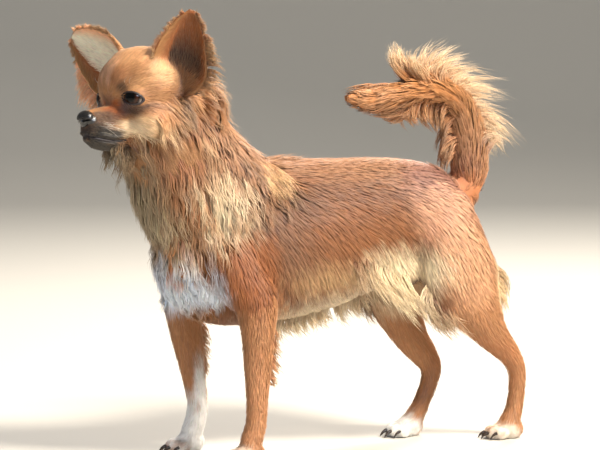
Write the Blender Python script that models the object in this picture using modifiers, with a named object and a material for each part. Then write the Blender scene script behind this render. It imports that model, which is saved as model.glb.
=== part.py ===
"""A standing long-haired chihuahua, life size, as a still museum model.

The dog faces -X with its left side towards -Y. Its soles stand on z = 0, and the
origin is under the middle of the whole model. One skin is built from lofted and
rounded forms, parted into head, neck, torso, tail and leg pieces with thin cuts,
and then dressed with the long locks of the ruff, belly, thighs, ears and tail.
"""

import math
import random

import bmesh
import bpy
from mathutils import Matrix, Vector
from mathutils.bvhtree import BVHTree

# Driving dimensions, in millimetres
MM = 0.001
GAP = 0.3
SEED = 11
WITHERS_HEIGHT = 226.0
SKULL_CENTRE = (-178.5, -6.0, 280.5)
HEAD_YAW, HEAD_PITCH, HEAD_ROLL = 193.0, 2.0, 4.0
EYE_RADIUS = 9.4
EYE_FORWARD, EYE_APART, EYE_DROP = 18.0, 16.8, -6.8
EYE_TURN, EYE_SLANT = 34.0, 14.0
EYE_OPENING = (7.0, 8.2, 5.8)
LID_WALL = 1.7
# Moves the finished model so that the origin lies under the middle of its box
TO_ORIGIN = (39.61, -4.33, 0.0)

# Torso rings: x, underline, topline, half width
TORSO = [
    (-164, 136, 180, 15),
    (-155, 121, 195, 27),
    (-138, 107, 208, 35),
    (-116, 100, 217, 39),
    (-90, 99, 225, 42),
    (-58, 101, WITHERS_HEIGHT, 43),
    (-22, 108, 225, 42),
    (12, 119, 225, 39),
    (42, 129, 223, 36),
    (66, 135, 218, 37),
    (82, 144, 209, 33),
    (93, 158, 199, 23),
    (100, 170, 188, 12),
]
# Neck rings: centre x, y, z, half depth along the bend, half width
NECK = [
    (-104, 0, 172, 60, 39),
    (-122, 0, 193, 56, 40),
    (-138, -1, 214, 51, 39),
    (-149, -2, 234, 46, 37),
    (-157, -4, 254, 41, 34),
    (-165, -5, 269, 34, 30),
]
# Muzzle rings in the head's own frame: forward, underside, top, half width
MUZZLE = [
    (6, -44, 0, 20),
    (18, -45, -4, 18.5),
    (26, -45, -8, 15.5),
    (34, -44.5, -10.5, 13),
    (42, -43.5, -12, 11.4),
    (49, -40.5, -13, 9.8),
    (53.5, -35, -15, 6.8),
]
# Rounded masses of the head, in its own frame: centre, half sizes
HEAD_MASSES = [
    ((0, 0, 0.5), (33, 31, 31)),
    ((10, 0, 3), (24.5, 25, 24)),
    ((-10, 0, -6), (27, 29, 30)),
    ((3, 16, -22), (21, 15, 20)),
    ((3, -16, -22), (21, 15, 20)),
    ((-6, 0, -26), (24, 24, 20)),
    ((40, 6.0, -27.5), (12, 6.6, 8)),
    ((40, -6.0, -27.5), (12, 6.6, 8)),
]
# The mouth line as rays from the muzzle's middle: forward, height, degrees round to the side
MOUTH_LINE = [
    (36, -31.0, 0),
    (36, -33.0, 28),
    (36, -35.2, 56),
    (34, -36.4, 84),
    (27, -36.0, 90),
    (20, -34.4, 90),
]
# Legs, as rings down the limb: x, y, z, half depth fore and aft, half width
FORELEG = {
    "left": [
        (-122, -27, 168, 23, 13),
        (-112, -31, 142, 22, 14),
        (-100, -35, 120, 18.5, 12.5),
        (-99, -37, 100, 14.5, 10.5),
        (-99, -37, 78, 12.4, 9.2),
        (-99.5, -37, 56, 10, 8),
        (-100, -36.5, 36, 8.6, 7.8),
        (-101, -36, 26, 8.8, 8.2),
        (-105, -35.5, 14, 8.8, 8.6),
    ],
    "right": [
        (-132, 27, 168, 23, 13),
        (-130, 31, 142, 21, 14),
        (-128, 35, 118, 18, 12.5),
        (-127, 35, 98, 14.5, 10.5),
        (-124, 34, 78, 12.4, 9.2),
        (-120.5, 33, 56, 10, 8),
        (-118, 32.5, 38, 8.6, 7.8),
        (-119, 32, 27, 8.8, 8.2),
        (-124, 31, 14, 8.8, 8.6),
    ],
}
HINDLEG = {
    "left": [
        (63, -20, 192, 25, 14),
        (70, -24, 165, 29, 17),
        (76, -28, 141, 32, 17),
        (82, -30, 122, 33, 15),
        (95, -30, 102, 22, 12.5),
        (108, -28, 84, 14.5, 9.5),
        (124, -26, 68, 10.2, 7.8),
        (132, -24.5, 55, 8.4, 6.8),
        (133, -23.5, 38, 7.6, 6.6),
        (131, -22.5, 22, 7.8, 7.2),
        (127, -22, 12, 9, 8.6),
    ],
    "right": [
        (58, 20, 192, 25, 14),
        (60, 24, 165, 31, 17),
        (57, 28, 139, 32, 17),
        (54, 30, 116, 27, 15),
        (58, 30, 95, 20, 12),
        (68, 28, 75, 14.5, 9.5),
        (82, 26, 56, 10.4, 7.6),
        (81, 25, 42, 8.2, 6.8),
        (75, 24, 29, 7.6, 6.6),
        (70, 23, 20, 7.8, 7.2),
        (64, 22, 12, 9, 8.6),
    ],
}
# Paws: centre x, y and the turn outwards in degrees
PAWS = {
    "forepaw_left": (-107, -35.5, -4),
    "forepaw_right": (-127, 31, 5),
    "hindpaw_left": (125, -22, -6),
    "hindpaw_right": (59, 22, 6),
}
PAW_LENGTH, PAW_WIDTH, PAW_HEIGHT = 33.0, 25.0, 17.0
TOES = [(7.5, -8.6, 0.88), (11.6, -3.1, 1.0), (11.6, 3.1, 1.0), (7.5, 8.6, 0.88)]
TOE_LENGTH, TOE_WIDTH, TOE_HEIGHT = 7.4, 4.3, 6.6
TOE_LEVEL = 5.0
# Claws: radius at the root, length, level of the root and the slope down
CLAW_RADIUS, CLAW_LENGTH, CLAW_LEVEL, CLAW_SLOPE = 1.5, 7.0, 5.4, 28.0
# Tail core rings: x, y, z, half depth, half width
TAIL = [
    (88, 0, 190, 17, 15),
    (100, 0, 203, 16.5, 14.5),
    (102, -1, 220, 17, 13),
    (100, -2, 240, 16, 12),
    (95, -3, 258, 13.5, 11),
    (82, -4, 272, 11.5, 10.5),
    (62, -4, 276, 11.5, 10),
    (42, -4, 273, 11.5, 10),
    (22, -3, 268, 11, 9.5),
    (4, -2, 268, 7.5, 6.5),
    (-8, -2, 271, 2.4, 2.2),
]

# Cuts between neighbours: a point on the plane and the direction it faces
NECK_CUT = ((-117, 0, 188), (-0.745, 0, 0.667))
HEAD_CUT = ((-163, -3, 262), (-0.77, 0, 0.64))
TAIL_CUTS = [
    ((97, 0, 205), (0.42, 0, 0.91)),
    ((100, 0, 246), (-0.12, 0, 1)),
    ((50, 0, 274), (-1, 0, -0.08)),
]
FORELEG_BOX = {
    "left": ((-140, -64, -9), (-72, -19, 105), 0),
    "right": ((-162, 19, -9), (-90, 64, 105), 0),
}
HINDLEG_BOX = {
    "left": ((10, -64, -70), (180, -7, 133), -14),
    "right": ((-10, 7, -70), (160, 64, 130), -14),
}
WRIST_CUT = {"left": ((-101, -36, 26), (-0.1, 0, -1)), "right": ((-119, 32, 27), (-0.1, 0, -1))}
KNEE_CUT = {"left": ((92, -30, 106), (0.5, 0, -0.86)), "right": ((56, 30, 104), (0.1, 0, -1))}
HOCK_CUT = {"left": ((131, -24, 57), (0.3, 0, -0.95)), "right": ((83, 25, 50), (0.1, 0, -1))}

# Ears, in the head's frame: root, tip, where the cup opens, the point inside the skull that the base
# narrows to, half width, and how far the outer edge drops
EAR_WALL = 2.4
EAR_CUP, EAR_CUP_OPENS = 78.0, 36.0
EAR_BASE, EAR_BASE_PULL = 0.32, 0.85
EARS = {
    "left": {
        "root": (-20, 25, 5), "tip": (-16, 44, 53), "opening": (0.80, 0.58, -0.1),
        "stalk": (-9, 17, -9), "half": 21, "drop": 10,
    },
    "right": {
        "root": (-6, -20, 14), "tip": (14, -72, 43), "opening": (0.93, -0.2, 0.1),
        "stalk": (-4, -14, 2), "half": 25, "drop": 0,
    },
}

# Locks: width and thickness where they are broadest, and their rings from root to tip
LOCK_SIZES = {"broad": (13.0, 2.5), "plume": (13.0, 2.4), "fringe": (9.5, 2.0), "fine": (8.0, 1.8)}
LONG_TAPER = [(0.0, 0.7, 1.0), (0.3, 1.0, 1.0), (0.55, 0.8, 0.8), (0.8, 0.4, 0.5)]
SHORT_TAPER = [(0.0, 0.7, 1.0), (0.34, 1.0, 1.0), (0.7, 0.6, 0.7)]
LOCK_TAPER = {"broad": LONG_TAPER, "plume": LONG_TAPER, "fringe": LONG_TAPER, "fine": SHORT_TAPER}
# Share of the triangles kept when a dressed piece is thinned
KEPT_SHARE = 0.52
ROOT_DEPTH = 3.0
# Rounded masses of deep hair behind the skull
MANE_MASSES = [((-131, -8, 262), (19, 27, 27)), ((-128, 8, 258), (18, 24, 24))]
# The fold of skin between belly and thigh, one each side
FLANK_FOLDS = [((24, -19, 141), (31, 10, 20)), ((12, 19, 141), (29, 10, 20))]
# Tiers of the ruff: centre, from and to in degrees from the throat, how many, length, lift
RUFF = [
    ((-152, -3, 262), 85, 275, 9, 34, 10),
    ((-147, -2, 244), 60, 300, 12, 39, 7),
    ((-140, -1, 224), 0, 335, 14, 42, 6),
    ((-127, 0, 203), 0, 335, 14, 44, 5),
]
NECK_RUN = (-0.6, 0.0, 0.8)
RUFF_LIE = (0.25, 0.0, -1.0)
# Chest frill: height, from and to in degrees from straight ahead, how many, length
FRILL = [(174, -60, 60, 7, 28), (158, -45, 45, 5, 24)]
# Long hair over the shoulder: root, first and last direction, length
SHOULDER_TUFT = [
    ((-100, -12, 224), (1, -0.35, 0.25), (0.3, -0.3, -1), 52),
    ((-96, -18, 222), (1, -0.45, 0.2), (0.2, -0.3, -1), 60),
    ((-100, -24, 216), (1, -0.5, 0.1), (0.1, -0.2, -1), 56),
    ((-98, 16, 223), (1, 0.4, 0.2), (0.2, 0.3, -1), 50),
    ((-102, 23, 216), (1, 0.5, 0.1), (0.1, 0.2, -1), 48),
]
# Belly fringe: from and to along the body, how many, how far apart each side, length
BELLY_FRINGE = (-68, 12, 9, 13, 19)
# Fringe down the flank and thigh on the left, by x and z: first and last root, first and last tip,
# how many locks, and where the thigh's own begin
FLANK_FRINGE = ((-14, 152), (66, 104), (-3, 119), (86, 76), 13)
THIGH_FRINGE_X = 25
# Tuft behind the thigh, by x and z: root, middle, tip
REAR_TUFT = [
    ((104, 140), (120, 131), (124, 112)),
    ((106, 133), (121, 119), (120, 104)),
    ((109, 121), (118, 108), (124, 95)),
]
FLANK_Y, REAR_Y, FAR_LEG_SHIFT = 36, 25, -21
# The plume, by x and z at the middle of the tail: node, root, middle and tip of each lock
PLUME = [
    ("tail_tip", (47, 284), (35, 297), (28, 308)),
    ("tail_tip", (52, 285), (38, 302), (39, 316)),
    ("tail_curve", (61, 282), (49, 297), (46, 306)),
    ("tail_curve", (67, 281), (57, 300), (68, 314)),
    ("tail_curve", (74, 279), (69, 300), (99, 316)),
    ("tail_curve", (82, 276), (80, 294), (110, 298)),
    ("tail_curve", (88, 272), (87, 286), (125, 287)),
    ("tail_curve", (94, 264), (98, 279), (145, 274)),
    ("tail_curve", (100, 254), (104, 270), (141, 261)),
    ("tail_root", (103, 243), (110, 260), (139, 246)),
    ("tail_root", (105, 238), (116, 256), (157, 229)),
    ("tail_root", (107, 231), (120, 249), (150, 225)),
    ("tail_root", (109, 225), (120, 240), (139, 224)),
    ("tail_root", (111, 218), (120, 230), (126, 216)),
]
TAIL_BRUSH = [
    ("tail_tip", (41, 278), (16, 279), (-12, 274)),
    ("tail_tip", (43, 268), (18, 266), (-8, 268)),
    ("tail_tip", (46, 262), (27, 257), (0, 263)),
    ("tail_tip", (49, 262), (36, 253), (16, 255)),
    ("tail_tip", (48, 266), (43, 253), (49, 245)),
    ("tail_curve", (57, 268), (54, 254), (65, 244)),
    ("tail_curve", (67, 267), (64, 254), (74, 240)),
    ("tail_curve", (79, 263), (74, 254), (78, 238)),
    ("tail_root", (86, 243), (78, 240), (76, 224)),
    ("tail_root", (86, 233), (77, 229), (76, 213)),
    ("tail_root", (87, 223), (79, 219), (80, 204)),
]
PLUME_LAYERS = [(-7, -17, 0.86), (0, -1, 1.0), (7, 16, 0.84)]
BRUSH_LAYERS = [(-6, -5, 0.95), (5, 4, 0.95)]
# Short locks behind the forelegs: height and length
FORELEG_FEATHER = [(97, 17), (86, 17), (74, 16), (61, 15)]
# Cheek and beard locks in the head's frame: root, direction, length
HEAD_LOCKS = [
    ((-8, 27, -12), (-0.5, 0.3, -1), 30),
    ((2, 27, -22), (-0.4, 0.2, -1), 28),
    ((-8, -27, -12), (-0.5, -0.3, -1), 30),
    ((2, -27, -22), (-0.4, -0.2, -1), 28),
    ((28, 6, -43), (-0.1, 0.1, -1), 22),
    ((28, -6, -43), (-0.1, -0.1, -1), 22),
    ((19, 5, -44), (-0.1, 0, -1), 28),
    ((19, -5, -44), (-0.1, 0, -1), 28),
]
# Ear locks: share of the length, outwards or inwards edge, length
EAR_LOCKS = [(0.14, 1, 21), (0.27, 1, 15), (0.39, 1, 19), (0.54, 1, 12), (0.22, -1, 14), (0.4, -1, 12)]

# Finishes: colour and roughness
RED_COAT = ((0.50, 0.21, 0.075, 1), 0.8)
GOLDEN_COAT = ((0.60, 0.31, 0.13, 1), 0.8)
WHITE_COAT = ((0.86, 0.83, 0.78, 1), 0.85)
NOSE_LEATHER = ((0.025, 0.022, 0.024, 1), 0.4)
BROWN_EYE = ((0.035, 0.015, 0.008, 1), 0.08)
FINISHES = {
    "nose": NOSE_LEATHER,
    "eye_left": BROWN_EYE,
    "eye_right": BROWN_EYE,
    "neck": GOLDEN_COAT,
    "tail_root": GOLDEN_COAT,
    "tail_curve": GOLDEN_COAT,
    "tail_tip": GOLDEN_COAT,
    "forepaw_right": WHITE_COAT,
}


def clear_scene():
    for old in list(bpy.data.objects):
        bpy.data.objects.remove(old)


def finish_material(name, colour, roughness):
    """A plain, non-metallic finish of one colour and roughness."""
    material = bpy.data.materials.new(name)
    material.use_nodes = True
    shader = material.node_tree.nodes["Principled BSDF"]
    shader.inputs["Base Color"].default_value = colour
    shader.inputs["Roughness"].default_value = roughness
    shader.inputs["Metallic"].default_value = 0.0
    return material


def new_object(name, bm, collection):
    """Turns a bmesh into an object, with its normals pointing out."""
    bmesh.ops.recalc_face_normals(bm, faces=bm.faces)
    mesh = bpy.data.meshes.new(name)
    bm.to_mesh(mesh)
    bm.free()
    made = bpy.data.objects.new(name, mesh)
    collection.objects.link(made)
    return made


def apply_modifiers(made):
    """Replaces an object's mesh with what its modifiers make of it."""
    graph = bpy.context.evaluated_depsgraph_get()
    mesh = bpy.data.meshes.new_from_object(made.evaluated_get(graph))
    made.modifiers.clear()
    old = made.data
    made.data = mesh
    bpy.data.meshes.remove(old)
    return made


def copy_of(source, name):
    made = bpy.data.objects.new(name, source.data.copy())
    source.users_collection[0].objects.link(made)
    made.matrix_world = source.matrix_world.copy()
    return made


def smooth_rings(rings, per_span=3):
    """A Catmull-Rom run through the rings, so that a loft has no corners between them."""
    made = []
    for i in range(len(rings) - 1):
        before, start = rings[max(i - 1, 0)], rings[i]
        end, after = rings[i + 1], rings[min(i + 2, len(rings) - 1)]
        for step in range(per_span):
            t = step / per_span
            made.append([
                0.5 * (2 * b + (c - a) * t + (2 * a - 5 * b + 4 * c - d) * t**2
                       + (3 * b - a - 3 * c + d) * t**3)
                for a, b, c, d in zip(before, start, end, after)
            ])
    made.append(list(rings[-1]))
    return made


def loft(bm, rings, sides=20):
    """Skins a run of elliptical rings, each a matrix that places a unit circle, and caps its ends."""
    loops = []
    for matrix in rings:
        circle = bmesh.ops.create_circle(bm, segments=sides, radius=1, matrix=matrix)
        loops.append(circle["verts"])
    for first, second in zip(loops, loops[1:]):
        edges = {e for vert in first + second for e in vert.link_edges if e.is_wire or e.is_boundary}
        edges = [e for e in edges if all(v in first for v in e.verts) or all(v in second for v in e.verts)]
        bmesh.ops.bridge_loops(bm, edges=edges)
    for end in (loops[0], loops[-1]):
        bm.faces.new(end)


def upright_rings(stations, matrix=Matrix()):
    """Rings square to X from x, underside, top and half width."""
    rings = []
    for x, low, high, half_width in smooth_rings(stations):
        placed = Matrix((
            (0, 0, 1, x),
            (half_width, 0, 0, 0),
            (0, (high - low) / 2, 0, (high + low) / 2),
            (0, 0, 0, 1),
        ))
        rings.append(Matrix.Scale(MM, 4) @ matrix @ placed)
    return rings


def limb_rings(stations):
    """Rings square to the run of a limb from its centre, half depth and half width."""
    run = smooth_rings(stations)
    centres = [Vector(station[:3]) for station in run]
    rings = []
    for i, (x, y, z, half_depth, half_width) in enumerate(run):
        along = (centres[min(i + 1, len(run) - 1)] - centres[max(i - 1, 0)]).normalized()
        across = (Vector((0, 1, 0)) - along * along.y).normalized()
        fore = across.cross(along)
        placed = Matrix((fore * half_depth, across * half_width, along)).transposed().to_4x4()
        placed.translation = (x, y, z)
        rings.append(Matrix.Scale(MM, 4) @ placed)
    return rings


def mass(bm, centre, half_sizes, matrix=Matrix(), detail=16):
    """A rounded mass: a sphere stretched to three half sizes."""
    placed = matrix @ Matrix.Translation(centre) @ Matrix.Diagonal((*half_sizes, 1))
    bmesh.ops.create_uvsphere(
        bm, u_segments=detail, v_segments=detail // 2 + 2, radius=1, matrix=Matrix.Scale(MM, 4) @ placed
    )


def head_frame():
    """The head's own frame in millimetres: X towards the nose, Y to its left, Z up."""
    turns = [(HEAD_YAW, "Z"), (HEAD_PITCH, "Y"), (HEAD_ROLL, "X")]
    frame = Matrix.Translation(SKULL_CENTRE)
    for degrees, axis in turns:
        frame = frame @ Matrix.Rotation(math.radians(degrees), 4, axis)
    return frame


def eye_frame(side):
    """Where an eyeball sits, with X the way it looks."""
    place = Matrix.Translation((EYE_FORWARD, side * EYE_APART, EYE_DROP))
    turn = Matrix.Rotation(math.radians(side * EYE_TURN), 4, "Z")
    return head_frame() @ place @ turn


def paw_frame(name):
    x, y, turn = PAWS[name]
    return Matrix.Translation((x, y, 0)) @ Matrix.Rotation(math.radians(180 + turn), 4, "Z")


def paw(bm, name):
    """The heel pad's mass and four toes, all sunk a little below the sole's flat."""
    frame = paw_frame(name)
    mass(bm, (-2, 0, PAW_HEIGHT * 0.42), (PAW_LENGTH * 0.38, PAW_WIDTH * 0.42, PAW_HEIGHT * 0.56), frame)
    for forward, side, size in TOES:
        half_sizes = (TOE_LENGTH * size, TOE_WIDTH * size, TOE_HEIGHT * size)
        mass(bm, (forward, side, TOE_LEVEL), half_sizes, frame, 12)


def fuse(bm, name, collection, voxel, rounds, triangles):
    """Melts overlapping masses into one skin, smooths it and thins it to a number of triangles."""
    made = new_object(name, bm, collection)
    remesh = made.modifiers.new("Melt", "REMESH")
    remesh.mode = "VOXEL"
    remesh.voxel_size = voxel * MM
    smooth = made.modifiers.new("Smooth", "SMOOTH")
    smooth.factor = 0.5
    smooth.iterations = rounds
    apply_modifiers(made)
    made.data.calc_loop_triangles()
    thin = made.modifiers.new("Thin", "DECIMATE")
    thin.ratio = min(1.0, triangles / len(made.data.loop_triangles))
    thin.use_collapse_triangulate = True
    return apply_modifiers(made)


def body_skin(collection):
    """Torso, neck, legs and tail as one skin, with the head's masses where the neck enters them."""
    bm = bmesh.new()
    loft(bm, upright_rings(TORSO))
    loft(bm, limb_rings(NECK))
    for side in ("left", "right"):
        loft(bm, limb_rings(FORELEG[side]), 16)
        loft(bm, limb_rings(HINDLEG[side]), 16)
    loft(bm, limb_rings(TAIL), 14)
    for centre, half_sizes in HEAD_MASSES[:6]:
        mass(bm, centre, half_sizes, head_frame())
    for centre, half_sizes in MANE_MASSES + FLANK_FOLDS:
        mass(bm, centre, half_sizes)
    for name in PAWS:
        paw(bm, name)
    return fuse(bm, "body_skin", collection, 2.0, 7, 3500)


def head_skin(collection):
    """The head in finer faces, with enough of the neck to be cut."""
    bm = bmesh.new()
    frame = head_frame()
    loft(bm, limb_rings(NECK[2:]))
    for centre, half_sizes in MANE_MASSES:
        mass(bm, centre, half_sizes)
    loft(bm, upright_rings(MUZZLE, frame))
    for centre, half_sizes in HEAD_MASSES:
        mass(bm, centre, half_sizes, frame)
    for side in (1, -1):
        mass(bm, (0, 0, 0), (EYE_RADIUS + LID_WALL,) * 3, eye_frame(side))
    return fuse(bm, "head_skin", collection, 1.4, 4, 2200)


def cell(low, high, matrix=Matrix()):
    """A box cutter, out of the render."""
    bm = bmesh.new()
    size = Vector(high) - Vector(low)
    middle = (Vector(high) + Vector(low)) / 2
    placed = matrix @ Matrix.Translation(middle) @ Matrix.Diagonal((*size, 1))
    bmesh.ops.create_cube(bm, size=1, matrix=Matrix.Scale(MM, 4) @ placed)
    made = new_object("cutter", bm, bpy.data.collections["cutters"])
    made.hide_render = True
    made.display_type = "WIRE"
    return made


def beyond(plane, grow=0.0):
    """A large box cutter that holds all that lies beyond a plane."""
    point, facing = plane
    reach = 420
    turn = Vector(facing).to_track_quat("Z", "Y").to_matrix().to_4x4()
    return cell((-reach, -reach, -grow), (reach, reach, reach), Matrix.Translation(point) @ turn)


def boolean(made, cutter, operation, solver="EXACT"):
    cut = made.modifiers.new("Cut", "BOOLEAN")
    cut.operation = operation
    cut.solver = solver
    cut.object = cutter
    return apply_modifiers(made)


def keep_largest(made):
    """Drops every loose scrap, so that one closed surface is left."""
    bm = bmesh.new()
    bm.from_mesh(made.data)
    islands, seen = [], set()
    for start in bm.faces:
        if start in seen:
            continue
        island, edge_of = [], [start]
        seen.add(start)
        while edge_of:
            face = edge_of.pop()
            island.append(face)
            for edge in face.edges:
                for other in edge.link_faces if len(edge.link_faces) == 2 else ():
                    if other not in seen:
                        seen.add(other)
                        edge_of.append(other)
        islands.append(island)
    islands.sort(key=lambda faces: sum(face.calc_area() for face in faces))
    scraps = [face for island in islands[:-1] for face in island]
    bmesh.ops.delete(bm, geom=scraps, context="FACES")
    bm.to_mesh(made.data)
    bm.free()
    return made


def part_off(source, name, inside, grown):
    """Splits a piece off a skin: returns it, and leaves the skin with a thin gap to it."""
    piece = copy_of(source, name)
    keep_largest(boolean(piece, inside, "INTERSECT"))
    keep_largest(boolean(source, grown, "DIFFERENCE"))
    bpy.data.objects.remove(inside)
    bpy.data.objects.remove(grown)
    return piece


def part_beyond(source, name, plane):
    return part_off(source, name, beyond(plane), beyond(plane, GAP))


def part_box(source, name, box):
    """Parts off what a box holds, the box tilted about its low front edge by some degrees."""
    low, high, tilt = box
    pivot = Matrix.Translation((low[0], 0, high[2]))
    turn = pivot @ Matrix.Rotation(math.radians(tilt), 4, "Y") @ pivot.inverted()
    grown_low = Vector(low) - Vector((GAP,) * 3)
    grown_high = Vector(high) + Vector((GAP,) * 3)
    return part_off(source, name, cell(low, high, turn), cell(grown_low, grown_high, turn))


def swollen(source, growth):
    """A cutter that is a little larger than a piece, for what has to stay clear of it."""
    made = copy_of(source, "clearance")
    made.hide_render = True
    made.display_type = "WIRE"
    swell = made.modifiers.new("Swell", "DISPLACE")
    swell.mid_level = 0.0
    swell.strength = growth * MM
    return apply_modifiers(made)


def trim_clear(made, others):
    """Cuts a piece back from its neighbours: the gap first, then what folds between locks hid from it."""
    for other in others:
        for growth in (GAP * 1.35, GAP * 0.5, 0.0):
            cutter = swollen(other, growth)
            boolean(made, cutter, "DIFFERENCE", "MANIFOLD")
            bpy.data.objects.remove(cutter)
    return keep_largest(made)


def join_all(made, collection):
    """Fuses a collection of closed meshes into a node and clears the collection."""
    union = made.modifiers.new("Join", "BOOLEAN")
    union.operation = "UNION"
    union.operand_type = "COLLECTION"
    union.collection = collection
    union.solver = "MANIFOLD"
    apply_modifiers(made)
    for old in list(collection.objects):
        bpy.data.objects.remove(old)
    return keep_largest(made)


def finish_paw(made, name, scratch):
    """Cuts the soles flat at floor level and sets a claw in each toe."""
    floor = beyond(((0, 0, 0), (0, 0, -1)))
    boolean(made, floor, "DIFFERENCE")
    bpy.data.objects.remove(floor)
    for forward, side, size in TOES:
        bm = bmesh.new()
        root = forward + (TOE_LENGTH - 1.5) * size
        tilt = Matrix.Rotation(math.radians(90 + CLAW_SLOPE), 4, "Y")
        placed = paw_frame(name) @ Matrix.Translation((root, side, CLAW_LEVEL)) @ tilt
        bmesh.ops.create_cone(
            bm, cap_ends=True, segments=6, radius1=CLAW_RADIUS, radius2=CLAW_RADIUS * 0.25,
            depth=CLAW_LENGTH * size, matrix=Matrix.Scale(MM, 4) @ placed,
        )
        new_object("claw", bm, scratch)
    return join_all(made, scratch)


def tube(name, points, radius, collection):
    """A round-section run through points, as a closed mesh in the head's frame."""
    curve = bpy.data.curves.new(name, "CURVE")
    curve.dimensions = "3D"
    curve.bevel_depth = radius * MM
    curve.bevel_resolution = 0
    curve.use_fill_caps = True
    spline = curve.splines.new("POLY")
    spline.points.add(len(points) - 1)
    for target, point in zip(spline.points, points):
        target.co = (*(Vector(point) * MM), 1)
    drawn = bpy.data.objects.new(name, curve)
    collection.objects.link(drawn)
    graph = bpy.context.evaluated_depsgraph_get()
    bm = bmesh.new()
    bm.from_mesh(bpy.data.meshes.new_from_object(drawn.evaluated_get(graph)))
    bmesh.ops.remove_doubles(bm, verts=bm.verts, dist=0.01 * MM)
    bpy.data.objects.remove(drawn)
    return new_object(name, bm, collection)


def surface_of(made):
    """A search tree over an object's faces, in millimetres."""
    mesh = made.data
    points = [vert.co / MM for vert in mesh.vertices]
    return BVHTree.FromPolygons(points, [tuple(face.vertices) for face in mesh.polygons])


def mouth_points(surface, side, inset):
    """The mouth line on the muzzle's surface, sunk by a small inset."""
    frame = head_frame()
    points = []
    for forward, height, round_to in MOUTH_LINE:
        angle = math.radians(round_to)
        start = frame @ Vector((forward, 0, height))
        way = (frame.to_3x3() @ Vector((math.cos(angle), side * math.sin(angle), 0))).normalized()
        hit = surface.ray_cast(start, way, 60)[0]
        points.append(hit - way * inset)
    return [Vector(point) for point in smooth_rings([tuple(p) for p in points], 2)]


def carve_mouth(head, works):
    """A soft lip along each side, parted by a thin line."""
    surface = surface_of(head)
    for radius, inset, operation in ((2.0, 1.1, "UNION"), (0.8, -0.7, "DIFFERENCE")):
        for side in (1, -1):
            line = tube("lip", mouth_points(surface, side, inset), radius, works)
            boolean(head, line, operation)
            bpy.data.objects.remove(line)
    thin(keep_largest(head), 0.75)


def build_nose(works):
    """The nose leather with its two nostrils."""
    frame = head_frame()
    bm = bmesh.new()
    mass(bm, (52, 0, -20), (5.6, 7.8, 6.2), frame, 14)
    mass(bm, (53.4, 0, -24.4), (3.5, 4.6, 4.2), frame, 12)
    nose = fuse(bm, "nose", works, 0.8, 3, 320)
    for side in (1, -1):
        bm = bmesh.new()
        mass(bm, (57.2, side * 4.6, -21), (3.4, 2.1, 1.8), frame, 8)
        nostril = new_object("nostril", bm, works)
        boolean(nose, nostril, "DIFFERENCE")
        bpy.data.objects.remove(nostril)
    return keep_largest(nose)


def build_head(nodes, works, skin):
    """The head with lids and mouth, then the nose and eyeballs set into their hollows."""
    head = part_beyond(skin, "head", HEAD_CUT)
    bpy.data.objects.remove(skin)
    carve_mouth(head, works)
    nodes["nose"] = build_nose(works)
    trim_clear(head, [nodes["nose"]])
    for side, word in ((1, "left"), (-1, "right")):
        bm = bmesh.new()
        slant = Matrix.Rotation(math.radians(-side * EYE_SLANT), 4, "X")
        mass(bm, (EYE_RADIUS + 0.6, 0, 0), EYE_OPENING, eye_frame(side) @ slant, 16)
        opening = new_object("opening", bm, works)
        boolean(head, opening, "DIFFERENCE")
        bpy.data.objects.remove(opening)
        bm = bmesh.new()
        mass(bm, (0, 0, 0), (EYE_RADIUS,) * 3, eye_frame(side), 14)
        nodes["eye_" + word] = new_object("eye_" + word, bm, works)
        trim_clear(head, [nodes["eye_" + word]])
    nodes["head"] = head


def ear_point(word, along, share):
    """A point of the ear's middle layer: a leaf bent to a cup, its outer edge rooted lower."""
    spec = EARS[word]
    outer = 1 if word == "left" else -1
    root, tip = Vector(spec["root"]), Vector(spec["tip"])
    up = (tip - root).normalized()
    opening = Vector(spec["opening"])
    opening = (opening - up * opening.dot(up)).normalized()
    across = up.cross(opening)
    half_width = spec["half"] * ((1 - along**2.1) ** 0.72 + 0.03)
    bend = math.radians(EAR_CUP - EAR_CUP_OPENS * along)
    radius = half_width / math.sin(bend)
    forward = radius * (1 - math.cos(share * bend)) - 5 * along
    side = radius * math.sin(share * bend)
    rise = along * (tip - root).length - spec["drop"] * share * outer * (1 - along) ** 1.5
    point = root + up * rise + opening * forward + across * side
    pull = EAR_BASE_PULL * max(0.0, 1 - along / EAR_BASE) ** 2
    return head_frame() @ point.lerp(Vector(spec["stalk"]), pull)


def build_ear(nodes, works, word):
    """One ear: a cup with an even wall, its root cut to the head's surface."""
    bm = bmesh.new()
    bmesh.ops.create_grid(bm, x_segments=6, y_segments=7, size=0.5)
    for vert in bm.verts:
        vert.co = ear_point(word, vert.co.y + 0.5, vert.co.x * 2) * MM
    bmesh.ops.triangulate(bm, faces=bm.faces)
    ear = new_object("ear_" + word, bm, works)
    wall = ear.modifiers.new("Wall", "SOLIDIFY")
    wall.thickness = EAR_WALL * MM
    wall.offset = 0
    apply_modifiers(ear)
    nodes["ear_" + word] = trim_clear(ear, [nodes["head"]])


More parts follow.
